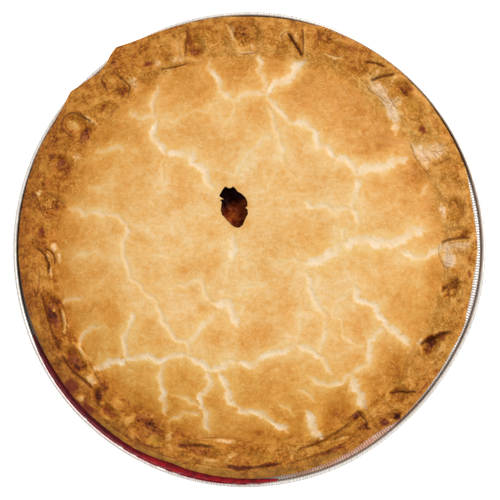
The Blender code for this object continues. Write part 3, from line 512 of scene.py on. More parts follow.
# Coloured places on the rim: angle, radius, half width along the rim, half width across, strength
marks = {
    "juiceMark": [
        (34.6, 102.2, 2.3, 2, 1.1), (33.7, 102, 0.8, 0.8, 0.9), (45, 110.2, 2.6, 1.1, 0.8),
        (46.5, 108.6, 3, 1.6, 0.45), (51, 112.8, 0.6, 0.8, 1), (63.5, 109.4, 3.4, 2.2, 0.35),
        (66, 112.5, 1.8, 0.6, 0.7), (88, 102, 0.9, 3.5, 0.3), (105, 99, 4.2, 3, 0.5), (106.2, 105.5, 1, 3, 0.6),
        (118.6, 102.5, 2.4, 1.7, 1.1), (119.6, 102.6, 1.4, 0.9, 0.8), (121.2, 109.2, 0.8, 0.8, 0.9),
        (120, 109.8, 0.5, 0.5, 0.6), (128.6, 97.4, 3.2, 1.9, 0.6), (136, 98.6, 2, 1, 0.5),
        (134.2, 99.4, 1.4, 0.9, 0.5), (145.5, 97, 3.5, 1.6, 0.35), (155, 100.4, 2.4, 1.8, 0.5),
        (157, 98.6, 1.6, 1, 0.5), (160.5, 107.8, 2.6, 1.2, 0.6), (175, 101.2, 2.2, 1.3, 1),
        (177.2, 102.2, 1.2, 1, 0.5), (185.5, 107.3, 1, 1.4, 0.35), (200.3, 100.8, 4.4, 1.3, 0.6),
        (197, 101.4, 3, 1.2, 0.4), (211.5, 101.2, 4, 1.8, 0.5), (215, 98.8, 2.2, 2.4, 0.3),
        (217.6, 109, 4.2, 3.2, 1.4), (218, 106, 2.5, 1, 0.9), (224.6, 109.6, 4.4, 2.1, 1.5),
        (223, 111.6, 8, 0.9, 1.2), (228.8, 104, 4.2, 2, 0.8), (237.2, 96.6, 2.4, 1.6, 0.6),
        (242.6, 99.4, 3.4, 1.8, 0.35), (257, 100.8, 8.5, 1.4, 0.5), (268, 105.6, 8, 0.8, 0.4),
        (292, 105.6, 7, 1, 0.4), (308, 106.6, 2.4, 1.8, 0.45), (321.5, 107.8, 3.2, 1, 0.6),
        (326.8, 107.3, 1.1, 1, 0.6), (340.4, 103.9, 0.9, 1.2, 0.8), (344.5, 107.3, 1.6, 0.9, 0.5),
        (353.6, 107.6, 1.8, 1.3, 0.5), (358.3, 107.4, 1, 1.5, 0.5),
    ],
    # Browned places on the rim, and along the valley and beside some folds a painted shade
    "brownAndShadeMark": [
        (4, 104.6, 1.6, 3.2, 0.85), (3.8, 100, 1.4, 3, 0.55), (6.6, 108.6, 5.5, 1.2, 0.6),
        (6, 106.4, 2.2, 0.8, 0.5), (11.4, 104.8, 4.5, 1.2, 0.35), (12.6, 100.6, 2, 2.4, 0.45),
        (-3, 107.4, 2.5, 2, 0.55), (21.2, 107.8, 3.2, 1.6, 0.6), (20.8, 105.2, 1.6, 1.6, 0.5),
        (22, 101, 2.6, 3.4, 0.35), (34.5, 109.4, 3, 2.2, 0.6), (37, 98.2, 2.6, 2.4, 0.4),
        (37.2, 93.8, 3, 1.2, 0.5), (39, 108.4, 1.2, 1.6, 0.5), (45, 107.8, 4, 3.2, 0.85),
        (46.5, 111, 4, 1.4, 0.7), (48, 109, 2, 3, 0.4), (52, 106.5, 1.6, 4, 0.4), (56.5, 107.6, 3, 1.8, 0.35),
        (62.5, 109.5, 4.6, 3, 0.5), (71, 108.6, 4.6, 3.4, 0.55), (66, 112.3, 3, 0.8, 0.5),
        (67.5, 105, 3.4, 2.2, 0.3), (76, 99.6, 1.6, 2.5, 0.4), (79, 104, 2.2, 3, 0.3),
        (88, 100.5, 1.3, 3.6, 0.5), (91, 106.5, 4.2, 5.5, 0.45), (93.6, 105.8, 1.3, 3.6, 0.6),
        (91.5, 100.5, 2.4, 2.2, 0.4), (99.5, 110.4, 4, 2.2, 0.35), (105, 99.2, 4.6, 3.2, 0.75),
        (106, 105.6, 1.4, 4.6, 0.7), (104, 109.5, 3, 2, 0.3), (113.6, 101, 2.4, 2.6, 0.3),
        (126.2, 110.2, 1.8, 2.6, 0.6), (119.5, 109.5, 3, 1.6, 0.25), (129.2, 103.6, 3.4, 6.2, 0.35),
        (131.2, 105.8, 1.3, 4.2, 0.55), (128.6, 97.6, 3.6, 2.2, 0.75), (129, 94.8, 1.4, 1.6, 0.5),
        (134.5, 108, 4, 4, 0.3), (135.4, 98.6, 4.2, 1.5, 0.75), (133.4, 96.6, 1.4, 1, 0.5),
        (145.2, 97, 6.2, 2.4, 0.75), (144.6, 98.4, 2.2, 1, 0.6), (142.6, 95, 2, 1.2, 0.5),
        (151, 106.8, 4.4, 3.6, 0.4), (154.8, 105.6, 2.2, 1.4, 0.7), (155.2, 100.6, 4.4, 2.6, 0.85),
        (155.6, 96.2, 3.4, 2, 0.5), (162.2, 104.8, 2.2, 2, 0.55), (160.4, 107.8, 3.4, 1.6, 0.35),
        (167.6, 95.6, 3.2, 3.6, 0.7), (169, 99, 2.6, 3.6, 0.4), (165.6, 108.2, 2.2, 2.2, 0.5),
        (167, 92.2, 1.4, 1.2, 0.7), (175.4, 101.4, 3.4, 1.9, 0.7), (178.4, 100.6, 1.4, 3, 0.5),
        (194, 100.4, 3.6, 3, 0.55), (199, 100.6, 7, 2.4, 0.75), (200.4, 106.6, 6.4, 1.2, 0.5),
        (186, 107, 1.2, 1.6, 0.3), (212.6, 100.4, 8, 3.4, 0.7), (214, 104, 8, 0.9, 0.6),
        (224.2, 102, 3.2, 3.6, 0.75), (229, 103.8, 5, 2.6, 0.55), (240, 97.4, 7.5, 2.6, 0.6),
        (242.5, 100, 4.5, 2, 0.35), (242, 106.6, 6.5, 0.9, 0.7), (251.2, 100.6, 3, 1.3, 0.75),
        (255.6, 98.6, 6.5, 1.4, 0.55), (257, 101.2, 8.5, 1.8, 0.55), (253.6, 107.6, 2.2, 1.2, 0.55),
        (268, 105.8, 8, 1.1, 0.95), (275, 104.8, 6, 1.2, 0.9), (292.5, 105.4, 9, 1.3, 0.75),
        (283, 105.6, 6, 0.8, 0.4), (290, 99, 9, 1.2, 0.55), (302.6, 96.2, 2.6, 1.9, 1),
        (303.4, 102, 1.3, 3.2, 0.8), (301.5, 101.6, 2.6, 0.8, 0.6), (308, 106.6, 3, 2.3, 1),
        (311.6, 108.4, 2.2, 1.8, 0.95), (315, 103, 3.8, 2.6, 0.55), (315.2, 98.4, 4.2, 1.4, 0.7),
        (318.2, 103.4, 1.6, 4, 0.5), (321.5, 107.8, 3.6, 1.2, 0.75), (326.8, 107.3, 1.4, 1.2, 0.75),
        (331.4, 99, 4.4, 3, 0.95), (333.4, 98.6, 3.6, 3, 1.2), (335.8, 102, 2.4, 3.4, 1.15),
        (337, 106.2, 2.4, 2.4, 0.65), (335.2, 96.6, 3.6, 2.2, 0.4), (340.4, 104, 1.2, 1.4, 0.5),
        (343, 107.6, 5, 1.3, 0.55), (347, 98, 1.6, 1.8, 0.85), (348.6, 95.8, 2.6, 1.1, 0.95),
        (350, 99, 3, 3.6, 0.6), (353.6, 107.6, 2.2, 1.5, 0.9), (357.4, 107.6, 3.2, 1.8, 0.7),
        (189, 95.6, 2.4, 1.6, 0.6), (196, 95.4, 3.6, 1.6, 0.6), (208, 95.2, 3.4, 1.5, 0.6),
        (217, 94.6, 3.6, 1.6, 0.6), (223, 96.6, 3, 1.6, 0.7), (231, 95, 3.6, 1.5, 0.5),
        (249, 95.4, 4, 1.4, 0.5), (268, 95, 5, 1.3, 0.4),
    ],
    "paleMark": [
        (1, 102.6, 3.2, 6.2, 0.75), (0.6, 95.2, 3.4, 3, 0.95), (357.2, 97.2, 4.2, 3.6, 1.1),
        (11.3, 95.6, 3.8, 1.5, 0.85), (10.6, 106.6, 2.4, 1, 0.4), (12, 108, 1.6, 0.8, 0.5),
        (27.9, 101.2, 5.2, 8, 0.8), (28.6, 95.2, 6.8, 3.2, 1), (28.2, 105, 1, 5, 0.6),
        (31, 106.8, 0.9, 0.9, 0.5), (30.6, 93.4, 6.4, 1, 0.8), (40, 92.2, 2.4, 2.6, 0.85),
        (43.2, 95.4, 4.6, 3, 1.15), (46.5, 98, 5, 3.2, 1.15), (45, 101.6, 3.2, 2, 0.65),
        (50.6, 99.8, 6.4, 3, 1), (53.8, 101, 1.2, 2.6, 0.8), (49.8, 108, 0.8, 3.4, 0.5),
        (54.2, 105.2, 1.5, 3, 0.5), (60, 105.2, 1.8, 1.2, 0.4), (67.2, 101.8, 4.6, 0.8, 0.75),
        (64.6, 103.6, 0.8, 1.6, 0.6), (77.6, 105, 2, 3.6, 0.6), (81, 105, 0.9, 3, 0.4),
        (89.5, 98.4, 0.9, 1.8, 0.85), (90.4, 95.6, 4.6, 0.7, 0.7), (94.6, 105, 0.9, 4.6, 0.7),
        (99.6, 100.2, 3.4, 3, 0.35), (110.6, 98.6, 4.4, 2.2, 0.7), (109, 105, 4, 5, 0.45),
        (114.5, 106.6, 0.7, 4, 0.5), (116.2, 100.8, 1.6, 2.2, 0.75), (124.8, 98.2, 2.4, 4.2, 0.7),
        (121.8, 99.4, 2, 1.4, 0.35), (140.8, 98.6, 0.9, 4.4, 0.7), (144.8, 104.8, 2.4, 4, 0.7),
        (129.2, 105.2, 2, 3.6, 0.45), (38.4, 90.2, 1.4, 1.2, 0.7), (41.8, 93.4, 1.8, 1.4, 0.8),
        (151.6, 95, 2.4, 3.2, 0.6), (156.6, 109.4, 1.4, 1, 0.45), (160, 97, 5, 5, 0.25),
        (165.2, 105.2, 2, 1.5, 0.75), (167.6, 100.4, 3.4, 3.6, 0.45), (179.4, 94.6, 2.6, 1.8, 0.95),
        (182, 97.8, 3.4, 1.4, 0.6), (182.4, 92.4, 3.6, 1.2, 0.8), (186.8, 96.8, 2.6, 0.7, 0.8),
        (197.4, 99, 1.4, 0.9, 0.75), (201, 96, 5, 0.9, 0.8), (203.8, 97.9, 2, 0.8, 0.7), (206, 98, 2, 3, 0.3),
        (210.6, 95, 4, 0.9, 0.85), (219.6, 99.2, 4, 2.4, 0.9), (216.6, 101, 1.6, 1.4, 0.4),
        (221.4, 109, 1.8, 1.6, 0.75), (230.4, 106.6, 3.4, 1, 0.35), (234.8, 101.5, 2.2, 3.6, 0.5),
        (246.6, 99, 2, 3.4, 0.65), (248, 102.5, 2, 2, 0.45), (259.5, 103.8, 5, 1.5, 0.5),
        (265.4, 100.2, 2.6, 2.4, 0.6), (262.6, 93.8, 5.6, 1.2, 1), (264, 103, 1, 2, 0.5),
        (281.6, 101, 1.4, 3, 0.45), (296, 101.8, 3.2, 0.6, 0.5), (308, 100, 4.4, 3.6, 0.4),
        (312.4, 98.6, 2.4, 0.8, 0.6), (309.6, 107.4, 1.3, 0.9, 0.5), (316.4, 106.4, 3, 1.6, 0.4),
        (331.6, 94, 2.6, 0.8, 0.95), (332.6, 105, 4.4, 2.6, 0.4), (348.6, 103.6, 2.6, 1.4, 0.45),
    ],
    "yellowMark": [
        (41.2, 105.2, 2.8, 2.8, 0.8), (9.6, 100.4, 2, 2.4, 0.6), (57, 111.2, 3, 1.2, 0.5),
        (46.6, 106.4, 1.6, 1.2, 0.4), (111.5, 108.5, 5, 3, 0.3), (130, 105.5, 2, 4, 0.35),
        (144.4, 104.6, 3.6, 4.6, 0.45), (243.4, 103.6, 3.2, 2.8, 1), (240, 106, 2.4, 1, 0.5),
        (275, 101.4, 4, 2, 0.75), (271, 102, 2, 1.4, 0.4), (254, 97.4, 4, 1, 0.5), (318.5, 97.4, 3.5, 2, 0.6),
        (328, 96.4, 4, 2, 0.35), (349, 104, 3, 2.4, 0.4), (187, 100.6, 4, 2, 0.3),
    ],
    # Deep amber: the pastry's own on parts of the rim, and in the valley between lid and rim a painted shade,
    # the warm glow of light bounced in the hollow
    "amberAndShadeMark": [
        (64, 96.5, 14, 7, 0.6), (70, 102, 4, 3, 0.4), (84, 103, 4, 8, 0.45), (57, 92, 8, 4, 0.4),
        (30.8, 103, 2.5, 5, 0.5), (22, 101, 2.4, 3, 0.5), (277, 91.5, 12, 4.5, 0.85), (294, 93, 9, 3.6, 0.95),
        (287, 95, 6, 3, 0.6), (300, 92, 5, 3, 0.5), (313, 94, 7, 3, 0.45), (337.5, 95.5, 5, 3.5, 0.5),
        (352.5, 93, 6, 2, 0.35), (243, 90.5, 16, 3, 0.45), (222, 92.6, 10, 3, 0.5), (205, 91.5, 10, 3, 0.35),
        (191, 97.5, 6, 3.5, 0.5), (206, 97.5, 2.5, 3, 0.4), (98, 105, 5, 6, 0.35), (134, 104, 4, 5, 0.35),
        (354.6, 101, 2, 4, 0.4), (267, 101, 6, 3, 0.4),
    ],
    "oliveMark": [
        (205, 110.2, 14, 1.6, 0.5), (232, 110.2, 12, 1.6, 0.8), (248, 109.5, 16, 1.8, 0.9),
        (262, 109, 14, 2.2, 0.95), (276, 108.6, 14, 2.4, 0.9), (290, 108, 12, 2.2, 0.7),
    ],
    "speckMark": [
        (1, 102.5, 3, 5, 1), (26.5, 102.5, 4, 5, 1), (46, 106, 4.5, 3, 0.9), (70, 109, 5, 4, 0.9),
        (90.5, 102, 5, 7, 0.9), (155, 106.5, 4, 2, 0.9), (191, 105.5, 2.4, 2, 0.9), (145.5, 96.6, 6, 2.6, 0.9),
        (167.6, 100, 4, 5, 0.9), (20, 105.6, 3.5, 3, 0.6), (240, 98.6, 6, 3, 0.7), (214, 98.6, 4, 3, 0.8),
        (302, 101, 4, 3, 0.7), (311, 106, 5, 3, 0.8), (286, 106.5, 16, 2.4, 0.5), (348.5, 101, 5, 4.5, 0.8),
        (129, 103, 3.4, 5, 0.7), (127, 110, 3, 3, 0.6), (61, 109, 3, 3, 0.6), (11, 103, 5, 3.6, 0.5),
    ],
}

# Where the edge of each such place starts to fade and where it ends, in half widths
spotEdge = (0.3, 1.5)

# Broad tones of the lid, the same way, in pixels: middle, half width, half height, strength. The deep ones are
# browning, and at the bottom a painted shade where the lid dips towards the rim; the light ones are paler
# pastry, and on the right a painted light where the dome faces the lamp
tones = {
    "yellowTone": [
        (180, 395, 110, 46, 0.9), (300, 405, 90, 40, 0.8), (110, 350, 40, 46, 0.7), (420, 300, 40, 50, 0.5),
        (400, 120, 36, 40, 0.5), (100, 150, 30, 40, 0.3), (330, 250, 60, 24, 0.4),
    ],
    "deepAndShadedTone": [
        (312, 100, 30, 22, 0.5), (345, 120, 34, 26, 0.5), (372, 140, 22, 16, 0.45), (240, 75, 16, 12, 0.35),
        (195, 100, 24, 14, 0.35), (395, 205, 26, 20, 0.25), (275, 290, 34, 26, 0.25), (255, 335, 24, 16, 0.5),
        (222, 335, 14, 12, 0.3), (150, 335, 18, 14, 0.35), (215, 140, 24, 14, 0.3), (108, 392, 16, 12, 0.3),
        (150, 400, 20, 14, 0.35), (185, 380, 14, 14, 0.35), (285, 380, 26, 18, 0.45), (335, 410, 18, 14, 0.8),
        (330, 395, 26, 16, 0.5), (385, 300, 24, 20, 0.35), (395, 365, 18, 14, 0.5), (300, 330, 18, 16, 0.3),
        (355, 65, 18, 14, 0.35), (75, 190, 16, 30, 0.3), (95, 320, 20, 20, 0.35), (272, 435, 24, 8, 0.8),
        (180, 430, 24, 8, 0.5), (410, 190, 16, 24, 0.2), (215, 398, 80, 30, 0.6), (265, 396, 60, 34, 0.8),
    ],
    "paleAndLitTone": [
        (235, 165, 30, 24, 0.5), (105, 265, 34, 40, 0.45), (150, 240, 40, 30, 0.3), (270, 215, 26, 24, 0.3),
        (165, 95, 14, 22, 0.3), (205, 210, 30, 24, 0.3), (340, 235, 28, 16, 0.25), (235, 250, 20, 20, 0.35),
        (440, 290, 12, 14, 0.3), (330, 275, 24, 14, 0.25), (120, 300, 22, 16, 0.3), (240, 130, 24, 14, 0.3),
        (375, 262, 60, 54, 0.9), (420, 235, 24, 30, 0.7), (350, 215, 34, 30, 0.5), (95, 350, 24, 30, 0.5),
        (315, 305, 50, 44, 0.6), (120, 385, 30, 24, 0.9), (335, 345, 40, 30, 0.5), (330, 100, 40, 26, 0.5),
        (100, 240, 34, 50, 0.5),
    ],
}

# How far the pastry is baked, from dough at 0 to burnt at 1, by the distance from the pie's middle, and on the
# rim also by the angle, which makes the rim paler towards the right and darker towards the left. The same number
# carries the painted light and shade of the rim's inner slope
bakeAndShade = {
    "byRadius": [(0, 0.275), (50, 0.285), (70, 0.345), (82, 0.42), (90, 0.50), (96, 0.55), (102, 0.58),
                 (108, 0.62), (118, 0.67)],
    "byAngle": [(0, -0.07), (28, -0.07), (45, -0.1), (60, -0.03), (75, -0.01), (90, -0.04), (105, -0.02),
                (120, 0.0), (140, 0.01), (150, 0.07), (168, 0.08), (180, 0.06), (195, 0.09), (210, 0.09),
                (222, 0.11), (240, 0.06), (255, 0.01), (270, 0.07), (285, 0.02), (300, 0.02), (325, -0.02),
                (345, -0.05)],
    "ramp": [
        (0.00, (252, 236, 206)), (0.14, (245, 213, 162)), (0.30, (238, 190, 121)), (0.45, (228, 165, 84)),
        (0.60, (207, 138, 54)), (0.72, (180, 108, 38)), (0.84, (146, 76, 28)), (0.93, (106, 48, 20)),
        (1.00, (58, 24, 10)),
    ],
    # The rim's inner slope is paler where it faces the light: middle, half width, angle, amount
    "innerSlope": (97.0, 4.0, 40.0, 0.04),
    # How far the bake wanders off its circles, over what length, and the layers' stretch round the rim
    "wander": [(2.5, 11.0, 75.0), (1.5, 4.0, 78.0)], "layerRadius": 105.0, "layerStretch": 3.0,
    "shade": 0.825, "sheen": 0.014,
}


def pastry(red, green, blue):  # the paint that shows as this colour once the light and its sheen are on it
    return (*(max(0.0, part - bakeAndShade["sheen"]) * bakeAndShade["shade"] for part in tone(red, green, blue)[:3]), 1.0)


def edgeRadius(degrees):
    angles, radii = zip(*crust["edge"])
    return np.interp(degrees, angles, radii, period=360.0)


def smoothRoute(stops, parts=4):  # a curve through the stops
    spots = [np.array(stop, dtype=float) for stop in stops]
    spots = [2 * spots[0] - spots[1], *spots, 2 * spots[-1] - spots[-2]]
    route = []
    for before, start, end, after in zip(spots, spots[1:], spots[2:], spots[3:]):
        for part in range(parts):
            t = part / parts
            route.append(0.5 * (
                2 * start + (end - before) * t + (2 * before - 5 * start + 4 * end - after) * t**2
                + (3 * start - before - 3 * end + after) * t**3
            ))
    return [*route, spots[-2]]


def alongRoute(x, y, route):  # distance to a route of points, the side of it, and the share of the way
    nearest = np.full_like(x, np.inf)
    side = np.zeros_like(x)
    share = np.zeros_like(x)
    legs = list(zip(route, route[1:]))
    for number, (start, end) in enumerate(legs):
        dx, dy = end[0] - start[0], end[1] - start[1]
        length = math.hypot(dx, dy)
        part = np.clip(((x - start[0]) * dx + (y - start[1]) * dy) / length**2, 0.0, 1.0)
        offX, offY = x - start[0] - part * dx, y - start[1] - part * dy
        distance = np.hypot(offX, offY)
        closer = distance < nearest
        nearest = np.where(closer, distance, nearest)
        side = np.where(closer, dx * offY - dy * offX, side)
        share = np.where(closer, (number + part) / len(legs), share)
    return nearest, side, share


def lineFields(x, y, lines):  # where each point is from its nearest line, and the relief of all the lines
    offset, force, relief = np.full_like(x, lineShape["none"]), np.zeros_like(x), np.zeros_like(x)
    flapReach, ends = lineShape["flapReach"], lineShape["ends"]
    for width, strength, depth, flap, stops in lines:
        route = smoothRoute([atAngle(*stop) for stop in stops])
        low, high = np.min(route, axis=0) - 1.5 * flapReach, np.max(route, axis=0) + 1.5 * flapReach
        near = (x > low[0]) & (x < high[0]) & (y > low[1]) & (y < high[1])
        distance, side, share = alongRoute(x[near], y[near], route)
        fade = smoothStep(0.0, ends, share) * smoothStep(0.0, ends, 1.0 - share)
        nearer = distance / width < np.abs(offset[near])
        offset[near] = np.where(nearer, np.sign(side) * distance / width, offset[near])
        coloured = distance < lineShape["colourReach"] * width
        force[near] = np.where(nearer, strength * fade * coloured, force[near])
        groove = lineShape["grooveDepth"] * np.exp(-((distance / max(width, lineShape["leastGroove"])) ** 2))
        beside = np.where(side * flap > 0, fadeOut(lineShape["flapFrom"], flapReach, distance), 0.0)
        relief[near] += fade * (abs(flap) * beside - depth * groove)
    return offset, force, relief


def crimpRelief(radius, degrees):
    relief = np.zeros_like(radius)
    squareness = crimpShape["squareness"]
    for angle, width, inner, outer, depth in crimps:
        middle, halfLength = (inner + outer) / 2, (outer - inner) / 2
        across = np.radians(awayFrom(degrees, angle)) * radius / (math.radians(width / 2) * middle)
        along = np.abs(radius - middle) / halfLength
        reach = (across**squareness + along**squareness) ** (1 / squareness)
        relief -= depth * fadeOut(*crimpShape["bowl"], reach)
        lip = np.exp(-(((reach - crimpShape["lipAt"]) / crimpShape["lipWidth"]) ** 2))
        relief += crimpShape["lip"] * lip * min(depth, crimpShape["fullLip"]) / crimpShape["fullLip"]
    return relief


def crackPoints():  # each route roughened by halving its legs, then read at even steps
    draw = random.Random(crackShape["seed"])
    found = []

    def varied(kind, along, number, seed):  # a value that wanders along the crack
        middle, swing, length = crackShape[kind]
        return middle + swing * noise.noise(Vector((along / length, number, seed)))

    for number, (width, pixels) in enumerate(cracks.values()):
        route = [fromPhoto(pixel) for pixel in pixels]
        for _ in range(crackShape["halvings"]):
            finer = [route[0]]
            for start, end in zip(route, route[1:]):
                dx, dy = end[0] - start[0], end[1] - start[1]
                off = draw.gauss(0.0, crackShape["sideways"])
                finer += [((start[0] + end[0]) / 2 - dy * off, (start[1] + end[1]) / 2 + dx * off), end]
            route = finer
        total = sum(math.dist(a, b) for a, b in zip(route, route[1:]))
        gone = 0.0
        for start, end in zip(route, route[1:]):
            length = math.dist(start, end)
            steps = max(1, round(length / crackShape["step"]))
            for step in range(steps):
                part = step / steps
                along = gone + part * length
                ends = min(1.0, crackShape["tip"] + min(along, total - along) / crackShape["taperLength"])
                swell, fade = varied("swell", along, number, 1.0), varied("fade", along, number, 9.0)
                least, perWidth = crackShape["strength"]
                atTip = crackShape["tipStrength"]
                strength = min(1.0, least + perWidth * width) * fade * (atTip + (1.0 - atTip) * ends)
                found.append((
                    start[0] + part * (end[0] - start[0]), start[1] + part * (end[1] - start[1]),
                    crackShape["widen"] * width * ends * swell, strength,
                ))
            gone += length
    return found


crackSamples = crackPoints()
crackTree = kdtree.KDTree(len(crackSamples))
for number, sample in enumerate(crackSamples):
    crackTree.insert((sample[0], sample[1], 0.0), number)
crackTree.balance()


def crackReach(x, y):  # distance to the nearest crack in half widths of it, its strength, and the distance
    ratio, force, away = np.empty_like(x), np.empty_like(x), np.empty_like(x)
    for number, (px, py) in enumerate(zip(x, y)):
        _, index, length = crackTree.find((px, py, 0.0))
        ratio[number] = 2.0 * length / crackSamples[index][2]
        force[number], away[number] = crackSamples[index][3], length
    return ratio, force, away


def nudged(x, y, amount, length, seed, nextSeed):  # places moved about at random
    return x + amount * lumps(x, y, length, seed), y + amount * lumps(x, y, length, nextSeed)


def wobbled(x, y):  # the same in two sizes, for ragged outlines
    coarse, fine = nudged(x, y, 1.0, 3.2, 40.0, 50.0), nudged(x, y, 0.5, 1.4, 42.0, 52.0)
    return coarse[0] + fine[0] - x, coarse[1] + fine[1] - y


def softSpots(x, y, spots, onRim=True):  # the strongest of many soft ovals at each point
    strongest = np.zeros_like(x)
    for spot in spots:
        if onRim:
            angle, radius, halfAcross, halfAlong, strength = spot
            middle = atAngle(angle, radius)
            c, s = math.cos(math.radians(angle)), math.sin(math.radians(angle))
        else:
            (px, py, halfAcross, halfAlong, strength), c, s = spot, 0.0, 1.0
            middle = fromPhoto((px, py))
            halfAcross, halfAlong = halfAcross * mmPerPixel, halfAlong * mmPerPixel
        dx, dy = x - middle[0], y - middle[1]
        along, across = dx * c + dy * s, -dx * s + dy * c
        reach = np.hypot(across / halfAcross, along / halfAlong)
        strongest = np.maximum(strongest, strength * fadeOut(*spotEdge, reach))
    return strongest


def underside(edge):  # the crust's underside at its edge, over the bead where it reaches it
    low = crust["beadTop"] - crust["tuck"]
    return low + (crust["tuck"] + crust["gap"]) * smoothStep(*crust["beadReach"], edge)


def crustHeight(x, y):
    radius, degrees = np.hypot(x, y), degreesOf(x, y)
    edge = edgeRadius(degrees)
    filledAngle, filledHalf = crust["filled"]
    filled = np.exp(-((awayFrom(degrees, filledAngle) / filledHalf) ** 3))
    drop = crust["lidTop"] - crust["valleyHeight"] - crust["fillHeight"] * filled
    lid = crust["lidTop"] - drop * (radius / crust["valleyRadius"]) ** crust["lidPower"]
    lid += crust["lidLump"] * lumps(x, y, crust["lidLumpLength"], 3.0) * fadeOut(*crust["lidLumpFade"], radius)
    rimMiddle, rimHalf = (crust["valleyRadius"] + edge) / 2, (edge - crust["valleyRadius"]) / 2
    offMiddle = (radius - rimMiddle) / rimHalf
    dropInside = crust["rimDropInside"] * (1.0 - crust["fillSlope"] * filled)
    rimDrop = np.where(offMiddle < 0, dropInside, crust["rimDropOutside"])
    rim = crust["rimTop"] - rimDrop * np.abs(offMiddle) ** crust["rimPower"]
    rim += crust["rimLump"] * lumps(x, y, crust["rimLumpLength"], 8.0)
    soft = crust["blendSoftness"]
    height = soft * np.logaddexp(lid / soft, rim / soft)
    onRim = smoothStep(crust["valleyRadius"] - crust["rimBlend"], crust["valleyRadius"], radius)
    height += onRim * crimpRelief(radius, degrees) + lineFields(x, y, creases + ridges)[2]
    height += crust["roughLump"] * (0.3 + onRim) * lumps(x, y, crust["roughLumpLength"], 21.0)
    height += 0.5 * crust["roughLump"] * (0.2 + onRim) * lumps(x, y, crust["roughLumpLength"] / 2, 25.0)
    height += crust["flourRise"] * onRim * smoothStep(0.0, 1.0, softSpots(*wobbled(x, y), marks["paleMark"]))
    ratio, force, _ = crackReach(x, y)
    height -= crackShape["depth"] * force * fadeOut(*crackShape["wall"], ratio)
    floor = underside(edge) + crust["edgeThickness"]
    return np.maximum(height, floor * smoothStep(edge - crust["edgeSoftness"], edge, radius))


def ventCutter():
    outline = np.array([fromPhoto(pixel) for pixel in vent["outline"]])
    middle = outline.mean(axis=0)
    bpy.ops.mesh.primitive_circle_add(vertices=len(outline), radius=1.0, fill_type="NGON")
    cutter = bpy.context.object
    points = pointsOf(cutter)
    byTurn = np.argsort(np.arctan2(*(outline - middle).T[::-1]))
    points[np.argsort(np.arctan2(points[:, 1], points[:, 0])), :2] = outline[byTurn]
    points[:, 2] = crust["lidTop"] + 2.0
    setPoints(cutter, points)
    applyModifier(cutter, "SOLIDIFY", thickness=crust["lidTop"] + 2.0 - vent["floor"], offset=-1.0)
    return cutter, middle


def skirtLevel(inset, height, widest):
    def place(points):
        radius = np.hypot(points[:, 0], points[:, 1])
        scale = np.minimum(radius - inset, widest * tinStretch(degreesOf(points[:, 0], points[:, 1]))) / radius
        placed = points.copy()
        placed[:, :2] *= scale[:, None]
        placed[:, 2] = underside(radius) if height is None else height
        return placed
    return place


print("building the crust")
pie = latticeDisc("pieCrust", crust["latticeCuts"], crust["crowd"])
piePoints = pointsOf(pie)
piePoints[:, :2] *= edgeRadius(degreesOf(piePoints[:, 0], piePoints[:, 1]))[:, None]
piePoints[:, 2] = crustHeight(piePoints[:, 0], piePoints[:, 1])
setPoints(pie, piePoints)

addSkirt(pie, [skirtLevel(*ring) for ring in crust["skirt"]])
cutter, ventMiddle = ventCutter()
applyModifier(pie, "BOOLEAN", operation="DIFFERENCE", solver="EXACT", object=cutter)
bpy.data.objects.remove(cutter)

print("marking the crust")
x, y, z = pointsOf(pie).T
radius = np.hypot(x, y)
raggedX, raggedY = wobbled(x, y)
for name, spots in marks.items():
    setMask(pie, name, softSpots(raggedX, raggedY, spots))
broadX, broadY = nudged(x, y, 4.0, 14.0, 60.0, 65.0)
for name, spots in tones.items():
    setMask(pie, name, softSpots(broadX, broadY, spots, onRim=False))
crackRatio, crackForce, crackAway = crackReach(x, y)
setMask(pie, "crackNear", 1.0 - np.clip(crackRatio / crackShape["reach"], 0.0, 1.0))
setMask(pie, "crackForce", crackForce)
setMask(pie, "plate", smoothStep(*crackShape["plate"], crackAway))
shakenX, shakenY = nudged(x, y, 0.25, 2.0, 31.0, 35.0)
for name, lines in (("creaseBrownAndShade", creases), ("ridgeHighlight", ridges)):
    offset, force, _ = lineFields(shakenX, shakenY, lines)
    setMask(pie, name + "Offset", offset)
    setMask(pie, name + "Force", force)
bakeRadius = radius + sum(reach * lumps(x, y, length, seed) for reach, length, seed in bakeAndShade["wander"])
rimShare = smoothStep(crust["valleyRadius"] - crust["rimBlend"], crust["valleyRadius"] + 2.0, bakeRadius)
degrees = degreesOf(x, y)
byAngle = np.interp(degrees, *zip(*bakeAndShade["byAngle"]), period=360.0)
slopeMiddle, slopeHalf, slopeAngle, paler = bakeAndShade["innerSlope"]
innerSlope = np.exp(-(((radius - slopeMiddle) / slopeHalf) ** 2)) * np.cos(np.radians(degrees - slopeAngle))
# The bake mask is the pastry's bake plus the painted light and shade on the rim's inner slope
setMask(pie, "bakeAndShade", np.interp(bakeRadius, *zip(*bakeAndShade["byRadius"])) + rimShare * byAngle - paler * innerSlope)
setMask(pie, "rimShare", rimShare)
# Painted shade: darker pastry in the hollows of the thumb dents
setMask(pie, "hollowShade", rimShare * np.clip(-crimpRelief(radius, degrees) / 2.0, 0.0, 1.0))
ventReach = np.hypot(x - ventMiddle[0], y - ventMiddle[1])
# The vent's walls darken with depth: juice on them, and deeper down a painted shade
setMask(pie, "ventJuiceAndShade", smoothStep(*vent["darkFrom"], z) * (ventReach < vent["darkReach"]))
ringPlace = pie.data.attributes.new("ringPlace", "FLOAT_VECTOR", "POINT")
rounded = np.maximum(radius, 1.0)
onRing = bakeAndShade["layerRadius"] / rounded
ringSpots = np.column_stack((x * onRing, y * onRing, radius * bakeAndShade["layerStretch"] + z)) * mm
ringPlace.data.foreach_set("vector", ringSpots.astype(np.float32).ravel())
toMetres(pie)


